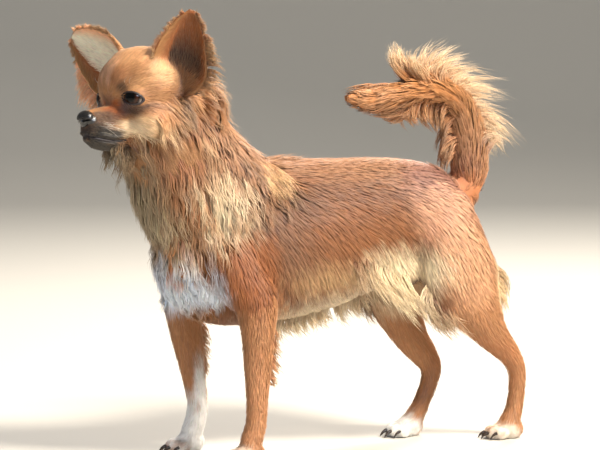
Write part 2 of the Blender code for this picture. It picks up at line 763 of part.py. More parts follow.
def build_body(nodes, skin, scratch):
    """Parts the skin into legs, paws, neck, torso and the tail's three lengths."""
    for side in ("left", "right"):
        leg = part_box(skin, "foreleg_" + side, FORELEG_BOX[side])
        name = "forepaw_" + side
        nodes[name] = finish_paw(part_beyond(leg, name, WRIST_CUT[side]), name, scratch)
        nodes["foreleg_" + side] = leg
        thigh = part_box(skin, "thigh_" + side, HINDLEG_BOX[side])
        shank = part_beyond(thigh, "shank_" + side, KNEE_CUT[side])
        name = "hindpaw_" + side
        nodes[name] = finish_paw(part_beyond(shank, name, HOCK_CUT[side]), name, scratch)
        nodes["shank_" + side] = shank
        nodes["thigh_" + side] = thigh
    tail = part_beyond(skin, "tail_root", TAIL_CUTS[0])
    curve = part_beyond(tail, "tail_curve", TAIL_CUTS[1])
    nodes["tail_tip"] = part_beyond(curve, "tail_tip", TAIL_CUTS[2])
    nodes["tail_curve"] = curve
    nodes["tail_root"] = tail
    neck = part_beyond(skin, "neck", NECK_CUT)
    trim_head = beyond(HEAD_CUT, GAP)
    keep_largest(boolean(neck, trim_head, "DIFFERENCE"))
    bpy.data.objects.remove(trim_head)
    nodes["neck"] = neck
    nodes["torso"] = skin
    skin.name = "torso"


def bent(root, middle, tip, share):
    """A point at some share of a curve through three points, the middle one at 0.55."""
    mid = 0.55
    first = (share - mid) * (share - 1) / mid
    second = share * (share - 1) / (mid * (mid - 1))
    third = share * (share - mid) / (1 - mid)
    return root * first + middle * second + tip * third


def lock(name, path, size, face, collection):
    """A flat, tapered lock along a path: flattened rings and a tip."""
    width, thickness = LOCK_SIZES[size]
    bm = bmesh.new()
    loops = []
    for i, (share, broad, thick) in enumerate(LOCK_TAPER[size]):
        along = (path[i + 1] - path[max(i - 1, 0)]).normalized()
        across = along.cross(face).normalized()
        out = across.cross(along)
        half_width, half_thick = across * (width * broad / 2), out * (thickness * thick / 2)
        corners = [path[i] + half_width, path[i] + half_thick, path[i] - half_width, path[i] - half_thick]
        loops.append([bm.verts.new(corner * MM) for corner in corners])
    for lower, upper in zip(loops, loops[1:]):
        for i in range(4):
            bm.faces.new((lower[i], lower[(i + 1) % 4], upper[(i + 1) % 4], upper[i]))
    tip = bm.verts.new(path[-1] * MM)
    for i in range(4):
        bm.faces.new((loops[-1][i], loops[-1][(i + 1) % 4], tip))
    bm.faces.new(loops[0])
    bmesh.ops.triangulate(bm, faces=bm.faces)
    return new_object(name, bm, collection)


def on_surface(surface, point, depth):
    """The nearest place on a surface, moved in by a depth, and the surface's way out there."""
    near, out = surface.find_nearest(point)[:2]
    return near - out * depth, out


def swept_lock(surface, root, middle, tip, size, face, collection, depth=ROOT_DEPTH):
    """A lock that leaves the surface and hangs or stands free."""
    start = on_surface(surface, root, depth)[0]
    path = [bent(start, middle, tip, share) for share in [row[0] for row in LOCK_TAPER[size]] + [1.0]]
    return lock("lock", path, size, face, collection)


def combed_lock(surface, root, first, last, length, lift, size, collection, rng):
    """A lock combed along the surface, lifting towards its tip."""
    base, out = on_surface(surface, root, 0)
    shares = [row[0] for row in LOCK_TAPER[size]] + [1.0]
    path = [base - out * ROOT_DEPTH]
    clear = LOCK_SIZES[size][1] / 2 + 0.6
    spin = Matrix.Rotation(rng.uniform(-0.16, 0.16), 3, out)
    here, up = base, out
    for before, share in zip(shares, shares[1:]):
        way = spin @ Vector(first).lerp(Vector(last), share)
        way = (way - up * way.dot(up)).normalized()
        goal = here + way * (length * (share - before))
        near, up = surface.find_nearest(goal)[:2]
        here = near
        path.append(near + up * (clear + lift * share**2))
    face = Matrix.Rotation(rng.uniform(-0.3, 0.3), 3, Vector(first).normalized()) @ out
    return lock("lock", path, size, face, collection)


def thin(made, share):
    """Thins a mesh to a share of its triangles, the flattest places first."""
    made.data.calc_loop_triangles()
    fewer = made.modifiers.new("Thin", "DECIMATE")
    fewer.ratio = share
    fewer.use_collapse_triangulate = True
    return apply_modifiers(made)


def dress(made, collection):
    """Fuses a collection of locks into a node and thins the result."""
    thin(join_all(made, collection), KEPT_SHARE)


def ruff_locks(surface, collection, rng):
    run = Vector(NECK_RUN).normalized()
    left = Vector((0, -1, 0))
    front = Vector((-run.z, 0, run.x))
    for centre, start, stop, count, length, lift in RUFF:
        for i in range(count):
            angle = math.radians(start + (stop - start) * (i + rng.uniform(-0.2, 0.2)) / (count - 1))
            way = front * math.cos(angle) + left * math.sin(angle)
            hit = surface.ray_cast(Vector(centre), way, 120)[0]
            long = length * rng.uniform(0.85, 1.15)
            combed_lock(surface, hit, RUFF_LIE, RUFF_LIE, long, lift, "broad", collection, rng)


def torso_locks(surface, collection, rng):
    for height, start, stop, count, length in FRILL:
        for i in range(count):
            angle = math.radians(start + (stop - start) * i / (count - 1) + rng.uniform(-4, 4))
            way = Vector((-math.cos(angle), math.sin(angle), 0))
            hit = surface.ray_cast(Vector((-135, 0, height)), way, 80)[0]
            combed_lock(surface, hit, (0, 0, -1), (0.2, 0, -1), length, 4, "plume", collection, rng)
    for root, first, last, length in SHOULDER_TUFT:
        combed_lock(surface, Vector(root), first, last, length, 2, "broad", collection, rng)
    start, stop, count, apart, length = BELLY_FRINGE
    for side in (1, -1):
        for i in range(count):
            x = start + (stop - start) * i / (count - 1)
            root = surface.ray_cast(Vector((x, side * apart, 170)), Vector((0, 0, -1)), 120)[0]
            drop = length * rng.uniform(0.75, 1.2)
            middle = root + Vector((-2, side * 2, -drop * 0.55))
            tip = root + Vector((rng.uniform(2, 8), 0, -drop))
            face = Vector((rng.uniform(-0.4, 0.4), side, 0)).normalized()
            swept_lock(surface, root, middle, tip, "fringe", face, collection)


def side_lock(surface, side, spots, lateral, collection, rng):
    """A lock on the outside of one side's flank or leg, the right one moved forward with its leg."""
    shift = 0 if side == "left" else FAR_LEG_SHIFT
    out = -1 if side == "left" else 1
    places = [Vector((x + shift, out * lateral, z)) for x, z in spots]
    places[2].y -= out * 3
    face = Vector((rng.uniform(-0.3, 0.3), out, rng.uniform(-0.2, 0.2))).normalized()
    swept_lock(surface, *places, "fringe", face, collection)


def flank_fringe(surface, side, on_thigh, collection, rng):
    """The fringe's locks in two layers, bowed forward and hanging back to their tips."""
    first_root, last_root, first_tip, last_tip, count = FLANK_FRINGE
    for i in range(count):
        share = i / (count - 1)
        root = Vector(first_root).lerp(Vector(last_root), share)
        if (root.x > THIGH_FRINGE_X) != on_thigh:
            continue
        reach = rng.uniform(0.8, 1.12)
        tip = root + (Vector(first_tip).lerp(Vector(last_tip), share) - root) * reach
        middle = root.lerp(tip, 0.5) + Vector((-3.5, -1))
        side_lock(surface, side, (root, middle, tip), FLANK_Y + 2 * (i % 2), collection, rng)


def tail_locks(surface, node, collection, rng):
    for rows, layers, size in ((PLUME, PLUME_LAYERS, "plume"), (TAIL_BRUSH, BRUSH_LAYERS, "plume")):
        for owner, *spots in rows:
            if owner != node:
                continue
            for at_root, at_tip, scale in layers:
                root = Vector((spots[0][0], at_root, spots[0][1]))
                middle = Vector((spots[1][0], (at_root + at_tip) / 2, spots[1][1]))
                tip = Vector((spots[2][0], at_tip + rng.uniform(-3, 3), spots[2][1]))
                middle = root + (middle - root) * scale
                tip = root + (tip - root) * scale * rng.uniform(0.94, 1.04)
                face = Vector((rng.uniform(-0.5, 0.5), 1, rng.uniform(-0.5, 0.5))).normalized()
                swept_lock(surface, root, middle, tip, size, face, collection)


def foreleg_locks(surface, side, collection, rng):
    """Short feathering down the back of a foreleg."""
    out = -1 if side == "left" else 1
    centre_x = FORELEG[side][4][0]
    for height, length in FORELEG_FEATHER:
        hit = surface.ray_cast(Vector((centre_x, out * 35, height)), Vector((1, 0, 0)), 40)[0]
        middle = hit + Vector((length * 0.22, 0, -length * 0.5))
        tip = hit + Vector((length * 0.42, rng.uniform(-2, 2), -length))
        swept_lock(surface, hit, middle, tip, "fine", Vector((0.3, out, 0)).normalized(), collection)


def head_locks(surface, collection, rng):
    frame = head_frame()
    turn = frame.to_3x3()
    for root, way, length in HEAD_LOCKS:
        place = frame @ Vector(root)
        way = turn @ Vector(way)
        if abs(root[1]) > 10:
            combed_lock(surface, place, way, way, length, 6, "plume", collection, rng)
        else:
            tip = place + Vector((-3, 0, -length))
            middle = place + Vector((-5, 0, -length * 0.5))
            face = Vector((0.5, 1 if root[1] < 0 else -1, 0)).normalized()
            swept_lock(surface, place, middle, tip, "fringe", face, collection)


def ear_locks(surface, word, collection, rng):
    """Flat locks that lie on the back of an ear and reach past its edge."""
    outer = 1 if word == "left" else -1
    root, tip = Vector(EARS[word]["root"]), Vector(EARS[word]["tip"])
    up = (head_frame().to_3x3() @ (tip - root)).normalized()
    for along, edge, length in EAR_LOCKS:
        share = edge * outer
        rim = ear_point(word, along, share * 0.97)
        inside = ear_point(word, along, share * 0.7)
        away = (rim - inside).normalized()
        end = inside + away * length - up * (length * rng.uniform(0.1, 0.3))
        middle = inside + away * (length * 0.55) + up * (length * 0.08)
        face = away.cross(up).normalized()
        swept_lock(surface, inside, middle, end, "fine", face, collection, EAR_WALL / 2)


def build_locks(nodes, whole, scratch):
    """Dresses the nodes with their locks, then cuts each clear of those dressed before it."""
    rng = random.Random(SEED)
    cores = {name: copy_of(node, "core_" + name) for name, node in nodes.items()}
    torso_locks(whole, scratch, rng)
    for side in ("left", "right"):
        flank_fringe(whole, side, False, scratch, rng)
    dress(nodes["torso"], scratch)
    near_torso = ["neck", "tail_root", "foreleg_left", "foreleg_right", "thigh_left", "thigh_right"]
    trim_clear(nodes["torso"], [cores[name] for name in near_torso])
    for side in ("left", "right"):
        name = "thigh_" + side
        flank_fringe(whole, side, True, scratch, rng)
        for spots in REAR_TUFT:
            side_lock(whole, side, spots, REAR_Y, scratch, rng)
        dress(nodes[name], scratch)
        trim_clear(nodes[name], [nodes["torso"], nodes["shank_" + side]])
        name = "foreleg_" + side
        foreleg_locks(whole, side, scratch, rng)
        dress(nodes[name], scratch)
        trim_clear(nodes[name], [nodes["torso"], nodes["forepaw_" + side]])
    ruff_locks(whole, scratch, rng)
    dress(nodes["neck"], scratch)
    trim_clear(nodes["neck"], [nodes["torso"], nodes["head"], nodes["foreleg_left"], nodes["foreleg_right"]])
    head_locks(whole, scratch, rng)
    dress(nodes["head"], scratch)
    trim_clear(nodes["head"], [nodes["neck"]])
    for word in EARS:
        name = "ear_" + word
        ear_locks(surface_of(nodes[name]), word, scratch, rng)
        dress(nodes[name], scratch)
        trim_clear(nodes[name], [nodes["head"], nodes["neck"]])
    done = ["torso"]
    following = {"tail_root": "tail_curve", "tail_curve": "tail_tip"}
    for name in ("tail_root", "tail_curve", "tail_tip"):
        tail_locks(whole, name, scratch, rng)
        dress(nodes[name], scratch)
        later = [cores[following[name]]] if name in following else []
        trim_clear(nodes[name], [nodes[other] for other in done] + later)
        done.append(name)
    for core in cores.values():
        bpy.data.objects.remove(core)


def main():
    clear_scene()
    parts = bpy.data.collections.new("chihuahua")
    cutters = bpy.data.collections.new("cutters")
    scratch = bpy.data.collections.new("locks")
    for collection in (parts, cutters, scratch):
        bpy.context.scene.collection.children.link(collection)
    nodes = {}
    skin = body_skin(parts)
    whole = surface_of(skin)
    build_body(nodes, skin, scratch)
    build_head(nodes, parts, head_skin(parts))
    for word in EARS:
        build_ear(nodes, parts, word)
    build_locks(nodes, whole, scratch)
    bpy.data.collections.remove(scratch)
    for name, node in nodes.items():
        node.name = name
        node.data.transform(Matrix.Translation(Vector(TO_ORIGIN) * MM))
        node.data.materials.clear()
        node.data.materials.append(finish_material(name + "_finish", *FINISHES.get(name, RED_COAT)))


main()
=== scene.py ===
"""The look of a standing long-haired chihuahua, a still life-size model.

The dog faces -X with its left side towards -Y and stands on z = 0. Sizes in the tables are
millimetres in the modeller's frame, whose zero is moved to the row's origin by TO_ORIGIN.
"""

import math

import bmesh
import bpy
import numpy as np
from mathutils import Matrix, Vector, noise
from mathutils.bvhtree import BVHTree
from mathutils.geometry import barycentric_transform


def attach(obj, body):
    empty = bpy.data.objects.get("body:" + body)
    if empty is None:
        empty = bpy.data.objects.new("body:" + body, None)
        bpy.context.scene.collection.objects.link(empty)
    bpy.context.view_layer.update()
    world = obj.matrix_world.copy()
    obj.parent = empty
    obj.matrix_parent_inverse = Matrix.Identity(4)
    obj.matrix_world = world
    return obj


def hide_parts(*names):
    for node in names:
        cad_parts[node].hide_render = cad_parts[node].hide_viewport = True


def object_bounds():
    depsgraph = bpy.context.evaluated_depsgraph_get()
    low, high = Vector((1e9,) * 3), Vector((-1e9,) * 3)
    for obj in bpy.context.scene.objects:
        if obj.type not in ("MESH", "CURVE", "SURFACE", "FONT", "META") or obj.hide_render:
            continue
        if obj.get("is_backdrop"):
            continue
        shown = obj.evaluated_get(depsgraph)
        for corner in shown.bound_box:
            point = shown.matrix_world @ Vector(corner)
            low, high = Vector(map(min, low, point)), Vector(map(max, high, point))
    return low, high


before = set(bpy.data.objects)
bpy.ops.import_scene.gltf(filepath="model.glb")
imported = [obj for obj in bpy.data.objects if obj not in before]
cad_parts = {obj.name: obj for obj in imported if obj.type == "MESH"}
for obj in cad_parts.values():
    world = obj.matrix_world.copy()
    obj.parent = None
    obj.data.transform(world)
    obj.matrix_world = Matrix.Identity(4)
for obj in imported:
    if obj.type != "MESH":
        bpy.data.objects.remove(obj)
cad_low, cad_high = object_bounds()


# Studio
# A pale floor that sweeps up far behind the dog, a large soft key light high on the camera's right, a
# weak fill on its left and a back light that edges the hair. The camera looks from the left front.

MM = 0.001
AIM = Vector((0.0023, 0.0139, 0.172))
AZIMUTH, ELEVATION, DISTANCE = math.radians(-26), math.radians(5), 2.0


def linear(hex_colour):
    """An sRGB hex value as linear red, green and blue."""
    values = [int(hex_colour[i:i + 2], 16) / 255 for i in (1, 3, 5)]
    return [v / 12.92 if v <= 0.04045 else ((v + 0.055) / 1.055) ** 2.4 for v in values]


def add_node(tree, kind, inputs=None, **settings):
    """Adds a node with its settings, and links or fills its inputs."""
    made = tree.nodes.new(kind)
    for key, value in settings.items():
        setattr(made, key, value)
    for key, value in (inputs or {}).items():
        if isinstance(value, bpy.types.NodeSocket):
            tree.links.new(value, made.inputs[key])
        else:
            made.inputs[key].default_value = value
    return made


def new_material(name, **values):
    """A material with only a Principled shader, its sockets filled by name."""
    made = bpy.data.materials.new(name)
    made.use_nodes = True
    shader = made.node_tree.nodes["Principled BSDF"]
    for key, value in values.items():
        shader.inputs[key.replace("_", " ")].default_value = value
    return made, made.node_tree, shader


def new_object(name, bm, material=None):
    """Makes an object of a bmesh whose points are already in place."""
    mesh = bpy.data.meshes.new(name)
    bm.to_mesh(mesh)
    bm.free()
    mesh.shade_smooth()
    made = bpy.data.objects.new(name, mesh)
    bpy.context.scene.collection.objects.link(made)
    if material:
        mesh.materials.append(material)
    return made


# The floor's run away from the camera, as distance and height, and its half width
FLOOR_RUN = [(-5.0, 0.0), (2.4, 0.0)]
FLOOR_RUN += [(2.4 + 1.8 * math.sin(a), 1.8 - 1.8 * math.cos(a)) for a in (0.26, 0.52, 0.79, 1.05, 1.31, 1.57)]
FLOOR_RUN += [(4.2, 6.0)]
FLOOR_HALF = 8.0
paint, paint_tree, paint_shader = new_material("matt_floor_paint", Roughness=0.85)
paint_grain = add_node(paint_tree, "ShaderNodeTexNoise", {"Scale": 6.0, "Detail": 3.0})
paint_spread = add_node(paint_tree, "ShaderNodeMapRange", {0: paint_grain.outputs["Fac"], 3: 0.0, 4: 1.0})
paint_colour = add_node(paint_tree, "ShaderNodeMix", {0: paint_spread.outputs[0]}, data_type="RGBA")
paint_colour.inputs[6].default_value = (*linear("#C9C8C4"), 1)
paint_colour.inputs[7].default_value = (*linear("#CFCECA"), 1)
paint_tree.links.new(paint_colour.outputs[2], paint_shader.inputs["Base Color"])
view_back = Vector((
    math.sin(AZIMUTH) * math.cos(ELEVATION), -math.cos(AZIMUTH) * math.cos(ELEVATION), math.sin(ELEVATION)
))
view_right = Vector((math.cos(AZIMUTH), math.sin(AZIMUTH), 0))
away = Vector((-view_back.x, -view_back.y, 0)).normalized()
bm = bmesh.new()
rows = [
    [bm.verts.new(away * run + view_right * width + Vector((0, 0, rise))) for width in (-FLOOR_HALF, FLOOR_HALF)]
    for run, rise in FLOOR_RUN
]
for near_row, far_row in zip(rows, rows[1:]):
    bm.faces.new((near_row[0], near_row[1], far_row[1], far_row[0]))
floor = new_object("floor", bm, paint)
floor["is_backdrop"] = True

camera_data = bpy.data.cameras.new("camera")
camera_data.lens = 155.4
camera_data.sensor_width = 36
camera = bpy.data.objects.new("camera", camera_data)
camera.location = AIM + view_back * DISTANCE
camera.rotation_euler = view_back.to_track_quat("Z", "Y").to_euler()
bpy.context.scene.collection.objects.link(camera)
bpy.context.scene.camera = camera
bpy.context.scene.view_settings.view_transform = "Standard"

LIGHTS = [
    ("key", view_back * 0.8 + view_right * 1.15 + Vector((0, 0, 1.4)), 0.6, 88, "#FFF3E0"),
    ("fill", view_back * 1.2 - view_right * 1.5 + Vector((0, 0, 0.5)), 1.4, 7, "#E2ECFF"),
    ("sky", view_back * 1.0 + view_right * 0.6 + Vector((0, 0, 0.55)), 0.5, 12, "#CFE0FF"),
    ("back", -view_back * 1.1 + view_right * 0.5 + Vector((0, 0, 1.5)), 0.7, 46, "#FFF4E6"),
]
for name, place, size, power, colour in LIGHTS:
    lamp_data = bpy.data.lights.new(name, "AREA")
    lamp_data.shape = "DISK"
    lamp_data.size = size
    lamp_data.energy = power
    lamp_data.color = linear(colour)
    lamp = bpy.data.objects.new(name, lamp_data)
    lamp.location = AIM + place
    lamp.rotation_euler = place.to_track_quat("Z", "Y").to_euler()
    lamp.visible_glossy = name != "fill"
    lamp.visible_diffuse = name != "sky"
    bpy.context.scene.collection.objects.link(lamp)
room = bpy.data.worlds.new("room")
room.use_nodes = True
room.node_tree.nodes["Background"].inputs["Color"].default_value = (*linear("#D4D6D8"), 1)
room.node_tree.nodes["Background"].inputs["Strength"].default_value = 0.3
bpy.context.scene.world = room


# Skin
# The hide of the whole dog in one piece: rounded forms for each mass of the body, melted together,
# smoothed, opened at the eyes, and drawn in by the depth of hair that stands over it.

TO_ORIGIN = Vector((39.61, -4.33, 0.0))
SKULL_CENTRE = (-178.5, -6.0, 280.5)
HEAD_TURNS = [(193.0, "Z"), (2.0, "Y"), (4.0, "X")]
SKIN_VOXEL = 1.25
# Torso rings: x, underline, topline, half width
TORSO = [
    (-164, 136, 180, 15), (-155, 121, 195, 27), (-138, 107, 208, 35), (-116, 100, 217, 39),
    (-90, 99, 225, 42), (-58, 101, 226, 43), (-22, 108, 225, 42), (12, 119, 225, 39),
    (42, 129, 223, 36), (66, 135, 218, 37), (82, 144, 209, 33), (93, 158, 199, 23), (100, 170, 188, 12),
]
# Neck rings: x, y, z, half depth along the bend, half width
NECK = [
    (-104, 0, 172, 60, 39), (-122, 0, 193, 56, 40), (-138, -1, 214, 51, 39),
    (-149, -2, 234, 46, 37), (-157, -4, 254, 41, 34), (-165, -5, 269, 34, 30),
]
# Muzzle rings in the head's frame: forward, underside, top, half width
MUZZLE = [
    (6, -44, 0, 20), (18, -45, -4, 18.5), (26, -45, -8, 15.5), (34, -44.5, -10.5, 13),
    (42, -43.5, -12, 11.4), (49, -40.5, -13, 9.8), (53.5, -35, -15, 6.8),
]
# Rounded masses: centre and half sizes, first the head's in its own frame
HEAD_MASSES = [
    ((0, 0, 0.5), (33, 31, 31)), ((10, 0, 3), (24.5, 25, 24)), ((-10, 0, -6), (27, 29, 30)),
    ((3, 16, -22), (21, 15, 20)), ((3, -16, -22), (21, 15, 20)), ((-6, 0, -26), (24, 24, 20)),
    ((40, 6.0, -27.5), (12, 6.6, 8)), ((40, -6.0, -27.5), (12, 6.6, 8)),
]
BODY_MASSES = [
    ((-131, -8, 262), (19, 27, 27)), ((-128, 8, 258), (18, 24, 24)),
    ((24, -19, 141), (31, 10, 20)), ((12, 19, 141), (29, 10, 20)),
]
# Limb rings: x, y, z, half depth fore and aft, half width
FORELEG_LEFT = [
    (-122, -27, 168, 23, 13), (-112, -31, 142, 22, 14), (-100, -35, 120, 18.5, 12.5),
    (-99, -37, 100, 14.5, 10.5), (-99, -37, 78, 12.4, 9.2), (-99.5, -37, 56, 10, 8),
    (-100, -36.5, 36, 8.6, 7.8), (-101, -36, 26, 8.8, 8.2), (-105, -35.5, 14, 8.8, 8.6),
]
FORELEG_RIGHT = [
    (-132, 27, 168, 23, 13), (-130, 31, 142, 21, 14), (-128, 35, 118, 18, 12.5),
    (-127, 35, 98, 14.5, 10.5), (-124, 34, 78, 12.4, 9.2), (-120.5, 33, 56, 10, 8),
    (-118, 32.5, 38, 8.6, 7.8), (-119, 32, 27, 8.8, 8.2), (-124, 31, 14, 8.8, 8.6),
]
HINDLEG_LEFT = [
    (63, -20, 192, 25, 14), (70, -24, 165, 29, 17), (76, -28, 141, 32, 17), (82, -30, 122, 33, 15),
    (95, -30, 102, 22, 12.5), (108, -28, 84, 14.5, 9.5), (124, -26, 68, 10.2, 7.8),
    (132, -24.5, 55, 8.4, 6.8), (133, -23.5, 38, 7.6, 6.6), (131, -22.5, 22, 7.8, 7.2),
    (127, -22, 12, 9, 8.6),
]
HINDLEG_RIGHT = [
    (58, 20, 192, 25, 14), (60, 24, 165, 31, 17), (57, 28, 139, 32, 17), (54, 30, 116, 27, 15),
    (58, 30, 95, 20, 12), (68, 28, 75, 14.5, 9.5), (82, 26, 56, 10.4, 7.6), (81, 25, 42, 8.2, 6.8),
    (75, 24, 29, 7.6, 6.6), (70, 23, 20, 7.8, 7.2), (64, 22, 12, 9, 8.6),
]
TAIL = [
    (88, 0, 190, 17, 15), (100, 0, 203, 16.5, 14.5), (102, -1, 220, 17, 13), (100, -2, 240, 16, 12),
    (95, -3, 258, 13.5, 11), (82, -4, 272, 11.5, 10.5), (62, -4, 276, 11.5, 10),
    (42, -4, 273, 11.5, 10), (22, -3, 268, 11, 9.5), (4, -2, 268, 7.5, 6.5), (-8, -2, 271, 2.4, 2.2),
]
# Paws: x, y and the turn outwards in degrees, with toes by forward, side and size
PAWS = {
    "forepaw_left": (-107, -35.5, -4), "forepaw_right": (-127, 31, 5),
    "hindpaw_left": (125, -22, -6), "hindpaw_right": (59, 22, 6),
}
PAW_LENGTH, PAW_WIDTH, PAW_HEIGHT = 33.0, 25.0, 17.0
TOES = [(7.5, -8.6, 0.88), (11.6, -3.1, 1.0), (11.6, 3.1, 1.0), (7.5, 8.6, 0.88)]
TOE_SIZES, TOE_LEVEL = (7.4, 4.3, 6.6), 5.0
EYE_RADIUS, LID_WALL = 9.4, 1.7
EYE_PLACE, EYE_TURN, EYE_SLANT = (18.0, 16.8, -6.8), 34.0, 14.0
EYE_OPENING = (7.0, 8.4, 4.6)
# Ears in the head's frame: root, tip, where the cup opens, where the base narrows to, half width, drop
EARS = {
    "left": ((-20, 25, 5), (-16, 44, 53), (0.80, 0.58, -0.1), (-9, 17, -9), 21, 10),
    "right": ((-6, -20, 14), (14, -72, 43), (0.93, -0.2, 0.1), (-4, -14, 2), 25, 0),
}
EAR_WALL, EAR_CUP, EAR_CUP_OPENS, EAR_BASE, EAR_BASE_PULL = 2.9, 78.0, 36.0, 0.32, 0.85

to_row = Matrix.Scale(MM, 4) @ Matrix.Translation(TO_ORIGIN)
head_frame = Matrix.Translation(SKULL_CENTRE)
for degrees, axis in HEAD_TURNS:
    head_frame = head_frame @ Matrix.Rotation(math.radians(degrees), 4, axis)


def smooth_rings(rings, per_span=4):
    """A Catmull-Rom run through the rings."""
    made = []
    for i in range(len(rings) - 1):
        before, start = rings[max(i - 1, 0)], rings[i]
        end, after = rings[i + 1], rings[min(i + 2, len(rings) - 1)]
        for step in range(per_span):
            t = step / per_span
            made.append([
                0.5 * (2 * b + (c - a) * t + (2 * a - 5 * b + 4 * c - d) * t**2
                       + (3 * b - a - 3 * c + d) * t**3)
                for a, b, c, d in zip(before, start, end, after)
            ])
    return made + [list(rings[-1])]


def loft(bm, matrices, sides=32):
    """Skins a run of rings, each a matrix that places a unit circle, and caps its ends."""
    loops = []
    for matrix in matrices:
        circle = bmesh.ops.create_circle(bm, segments=sides, radius=1, matrix=to_row @ matrix)
        loops.append(circle["verts"])
    for first, second in zip(loops, loops[1:]):
        edges = {e for vert in first + second for e in vert.link_edges if e.is_wire or e.is_boundary}
        edges = [e for e in edges if all(v in first for v in e.verts) or all(v in second for v in e.verts)]
        bmesh.ops.bridge_loops(bm, edges=edges)
    for end in (loops[0], loops[-1]):
        bm.faces.new(end)


def upright_rings(stations, matrix=Matrix()):
    """Rings square to X from x, underside, top and half width."""
    made = []
    for x, low, high, half_width in smooth_rings(stations):
        rows = ((0, 0, 1, x), (half_width, 0, 0, 0), (0, (high - low) / 2, 0, (high + low) / 2), (0, 0, 0, 1))
        made.append(matrix @ Matrix(rows))
    return made


def limb_rings(stations, per_span=4):
    """Rings square to the run of a limb, fore and across it."""
    run = smooth_rings(stations, per_span)
    centres = [Vector(station[:3]) for station in run]
    made = []
    for i, (x, y, z, half_depth, half_width) in enumerate(run):
        along = (centres[min(i + 1, len(run) - 1)] - centres[max(i - 1, 0)]).normalized()
        across = (Vector((0, 1, 0)) - along * along.y).normalized()
        placed = Matrix((across.cross(along) * half_depth, across * half_width, along)).transposed().to_4x4()
        placed.translation = (x, y, z)
        made.append(placed)
    return made


def mass(bm, centre, half_sizes, matrix=Matrix(), detail=32):
    """A rounded mass: a sphere stretched to three half sizes."""
    placed = to_row @ matrix @ Matrix.Translation(centre) @ Matrix.Diagonal((*half_sizes, 1))
    return bmesh.ops.create_uvsphere(
        bm, u_segments=detail, v_segments=detail // 2 + 2, radius=1, matrix=placed
    )["verts"]


def eye_frame(side):
    """Where an eyeball sits, with X the way it looks."""
    forward, apart, level = EYE_PLACE
    turn = Matrix.Rotation(math.radians(side * EYE_TURN), 4, "Z")
    slant = Matrix.Rotation(math.radians(-side * EYE_SLANT), 4, "X")
    return head_frame @ Matrix.Translation((forward, side * apart, level)) @ turn @ slant


def paw_frame(name):
    x, y, turn = PAWS[name]
    return Matrix.Translation((x, y, 0)) @ Matrix.Rotation(math.radians(180 + turn), 4, "Z")


def ear_point(word, along, share):
    """A point of an ear's middle layer: a leaf bent to a cup, narrowed at its base."""
    root, tip, opening, stalk, half, drop = EARS[word]
    outer = 1 if word == "left" else -1
    root, tip, opening = Vector(root), Vector(tip), Vector(opening)
    up = (tip - root).normalized()
    opening = (opening - up * opening.dot(up)).normalized()
    half_width = half * ((1 - along**2.1) ** 0.72 + 0.03)
    bend = math.radians(EAR_CUP - EAR_CUP_OPENS * along)
    radius = half_width / math.sin(bend)
    forward = radius * (1 - math.cos(share * bend)) - 5 * along
    rise = along * (tip - root).length - drop * share * outer * (1 - along) ** 1.5
    point = root + up * rise + opening * forward + up.cross(opening) * (radius * math.sin(share * bend))
    pull = EAR_BASE_PULL * max(0.0, 1 - along / EAR_BASE) ** 2
    return head_frame @ point.lerp(Vector(stalk), pull)


def apply_modifiers(made):
    """Replaces an object's mesh with what its modifiers make of it."""
    graph = bpy.context.evaluated_depsgraph_get()
    mesh = bpy.data.meshes.new_from_object(made.evaluated_get(graph))
    made.modifiers.clear()
    made.data = mesh
    return made


def melt(made, voxel, rounds):
    """Fuses overlapping masses into one surface and smooths it."""
    remesh = made.modifiers.new("Melt", "REMESH")
    remesh.mode = "VOXEL"
    remesh.voxel_size = voxel * MM
    remesh.use_smooth_shade = True
    smooth = made.modifiers.new("Smooth", "SMOOTH")
    smooth.factor = 0.5
    smooth.iterations = rounds
    return apply_modifiers(made)


bm = bmesh.new()
bmesh.ops.create_grid(bm, x_segments=1, y_segments=1, size=0.5)
bm.clear()
for word in EARS:
    grid = bmesh.ops.create_grid(bm, x_segments=24, y_segments=28, size=0.5)["verts"]
    for vert in grid:
        vert.co = to_row @ ear_point(word, vert.co.y + 0.5, vert.co.x * 2)
ears = new_object("ears", bm)
wall = ears.modifiers.new("Wall", "SOLIDIFY")
wall.thickness = EAR_WALL * MM
wall.offset = 0
apply_modifiers(ears)
bm = bmesh.new()
bm.from_mesh(ears.data)
bpy.data.objects.remove(ears)
loft(bm, upright_rings(TORSO))
loft(bm, limb_rings(NECK))
loft(bm, upright_rings(MUZZLE, head_frame))
for limb in (FORELEG_LEFT, FORELEG_RIGHT, HINDLEG_LEFT, HINDLEG_RIGHT, TAIL):
    loft(bm, limb_rings(limb), 28)
for centre, half_sizes in HEAD_MASSES:
    mass(bm, centre, half_sizes, head_frame)
for centre, half_sizes in BODY_MASSES:
    mass(bm, centre, half_sizes)
for side in (1, -1):
    mass(bm, (0, 0, 0), (EYE_RADIUS + LID_WALL,) * 3, eye_frame(side))
for name in PAWS:
    heel = (PAW_LENGTH * 0.38, PAW_WIDTH * 0.42, PAW_HEIGHT * 0.56)
    mass(bm, (-2, 0, PAW_HEIGHT * 0.42), heel, paw_frame(name))
    for forward, side, size in TOES:
        mass(bm, (forward, side, TOE_LEVEL), [half * size for half in TOE_SIZES], paw_frame(name), 20)
skin = melt(new_object("skin", bm), SKIN_VOXEL, 6)
SKIN_TRIANGLES = 186000
skin.data.calc_loop_triangles()
body_group = skin.vertex_groups.new(name="body")
inverse = (to_row @ head_frame).inverted()
for vert in skin.data.vertices:
    gap = (inverse @ vert.co - Vector((14, 0, 4))).length
    body_group.add([vert.index], min(1.0, max(0.0, (gap - 55) / 20)), "REPLACE")
thin = skin.modifiers.new("Thin", "DECIMATE")
thin.ratio = SKIN_TRIANGLES / len(skin.data.loop_triangles)
thin.vertex_group = "body"
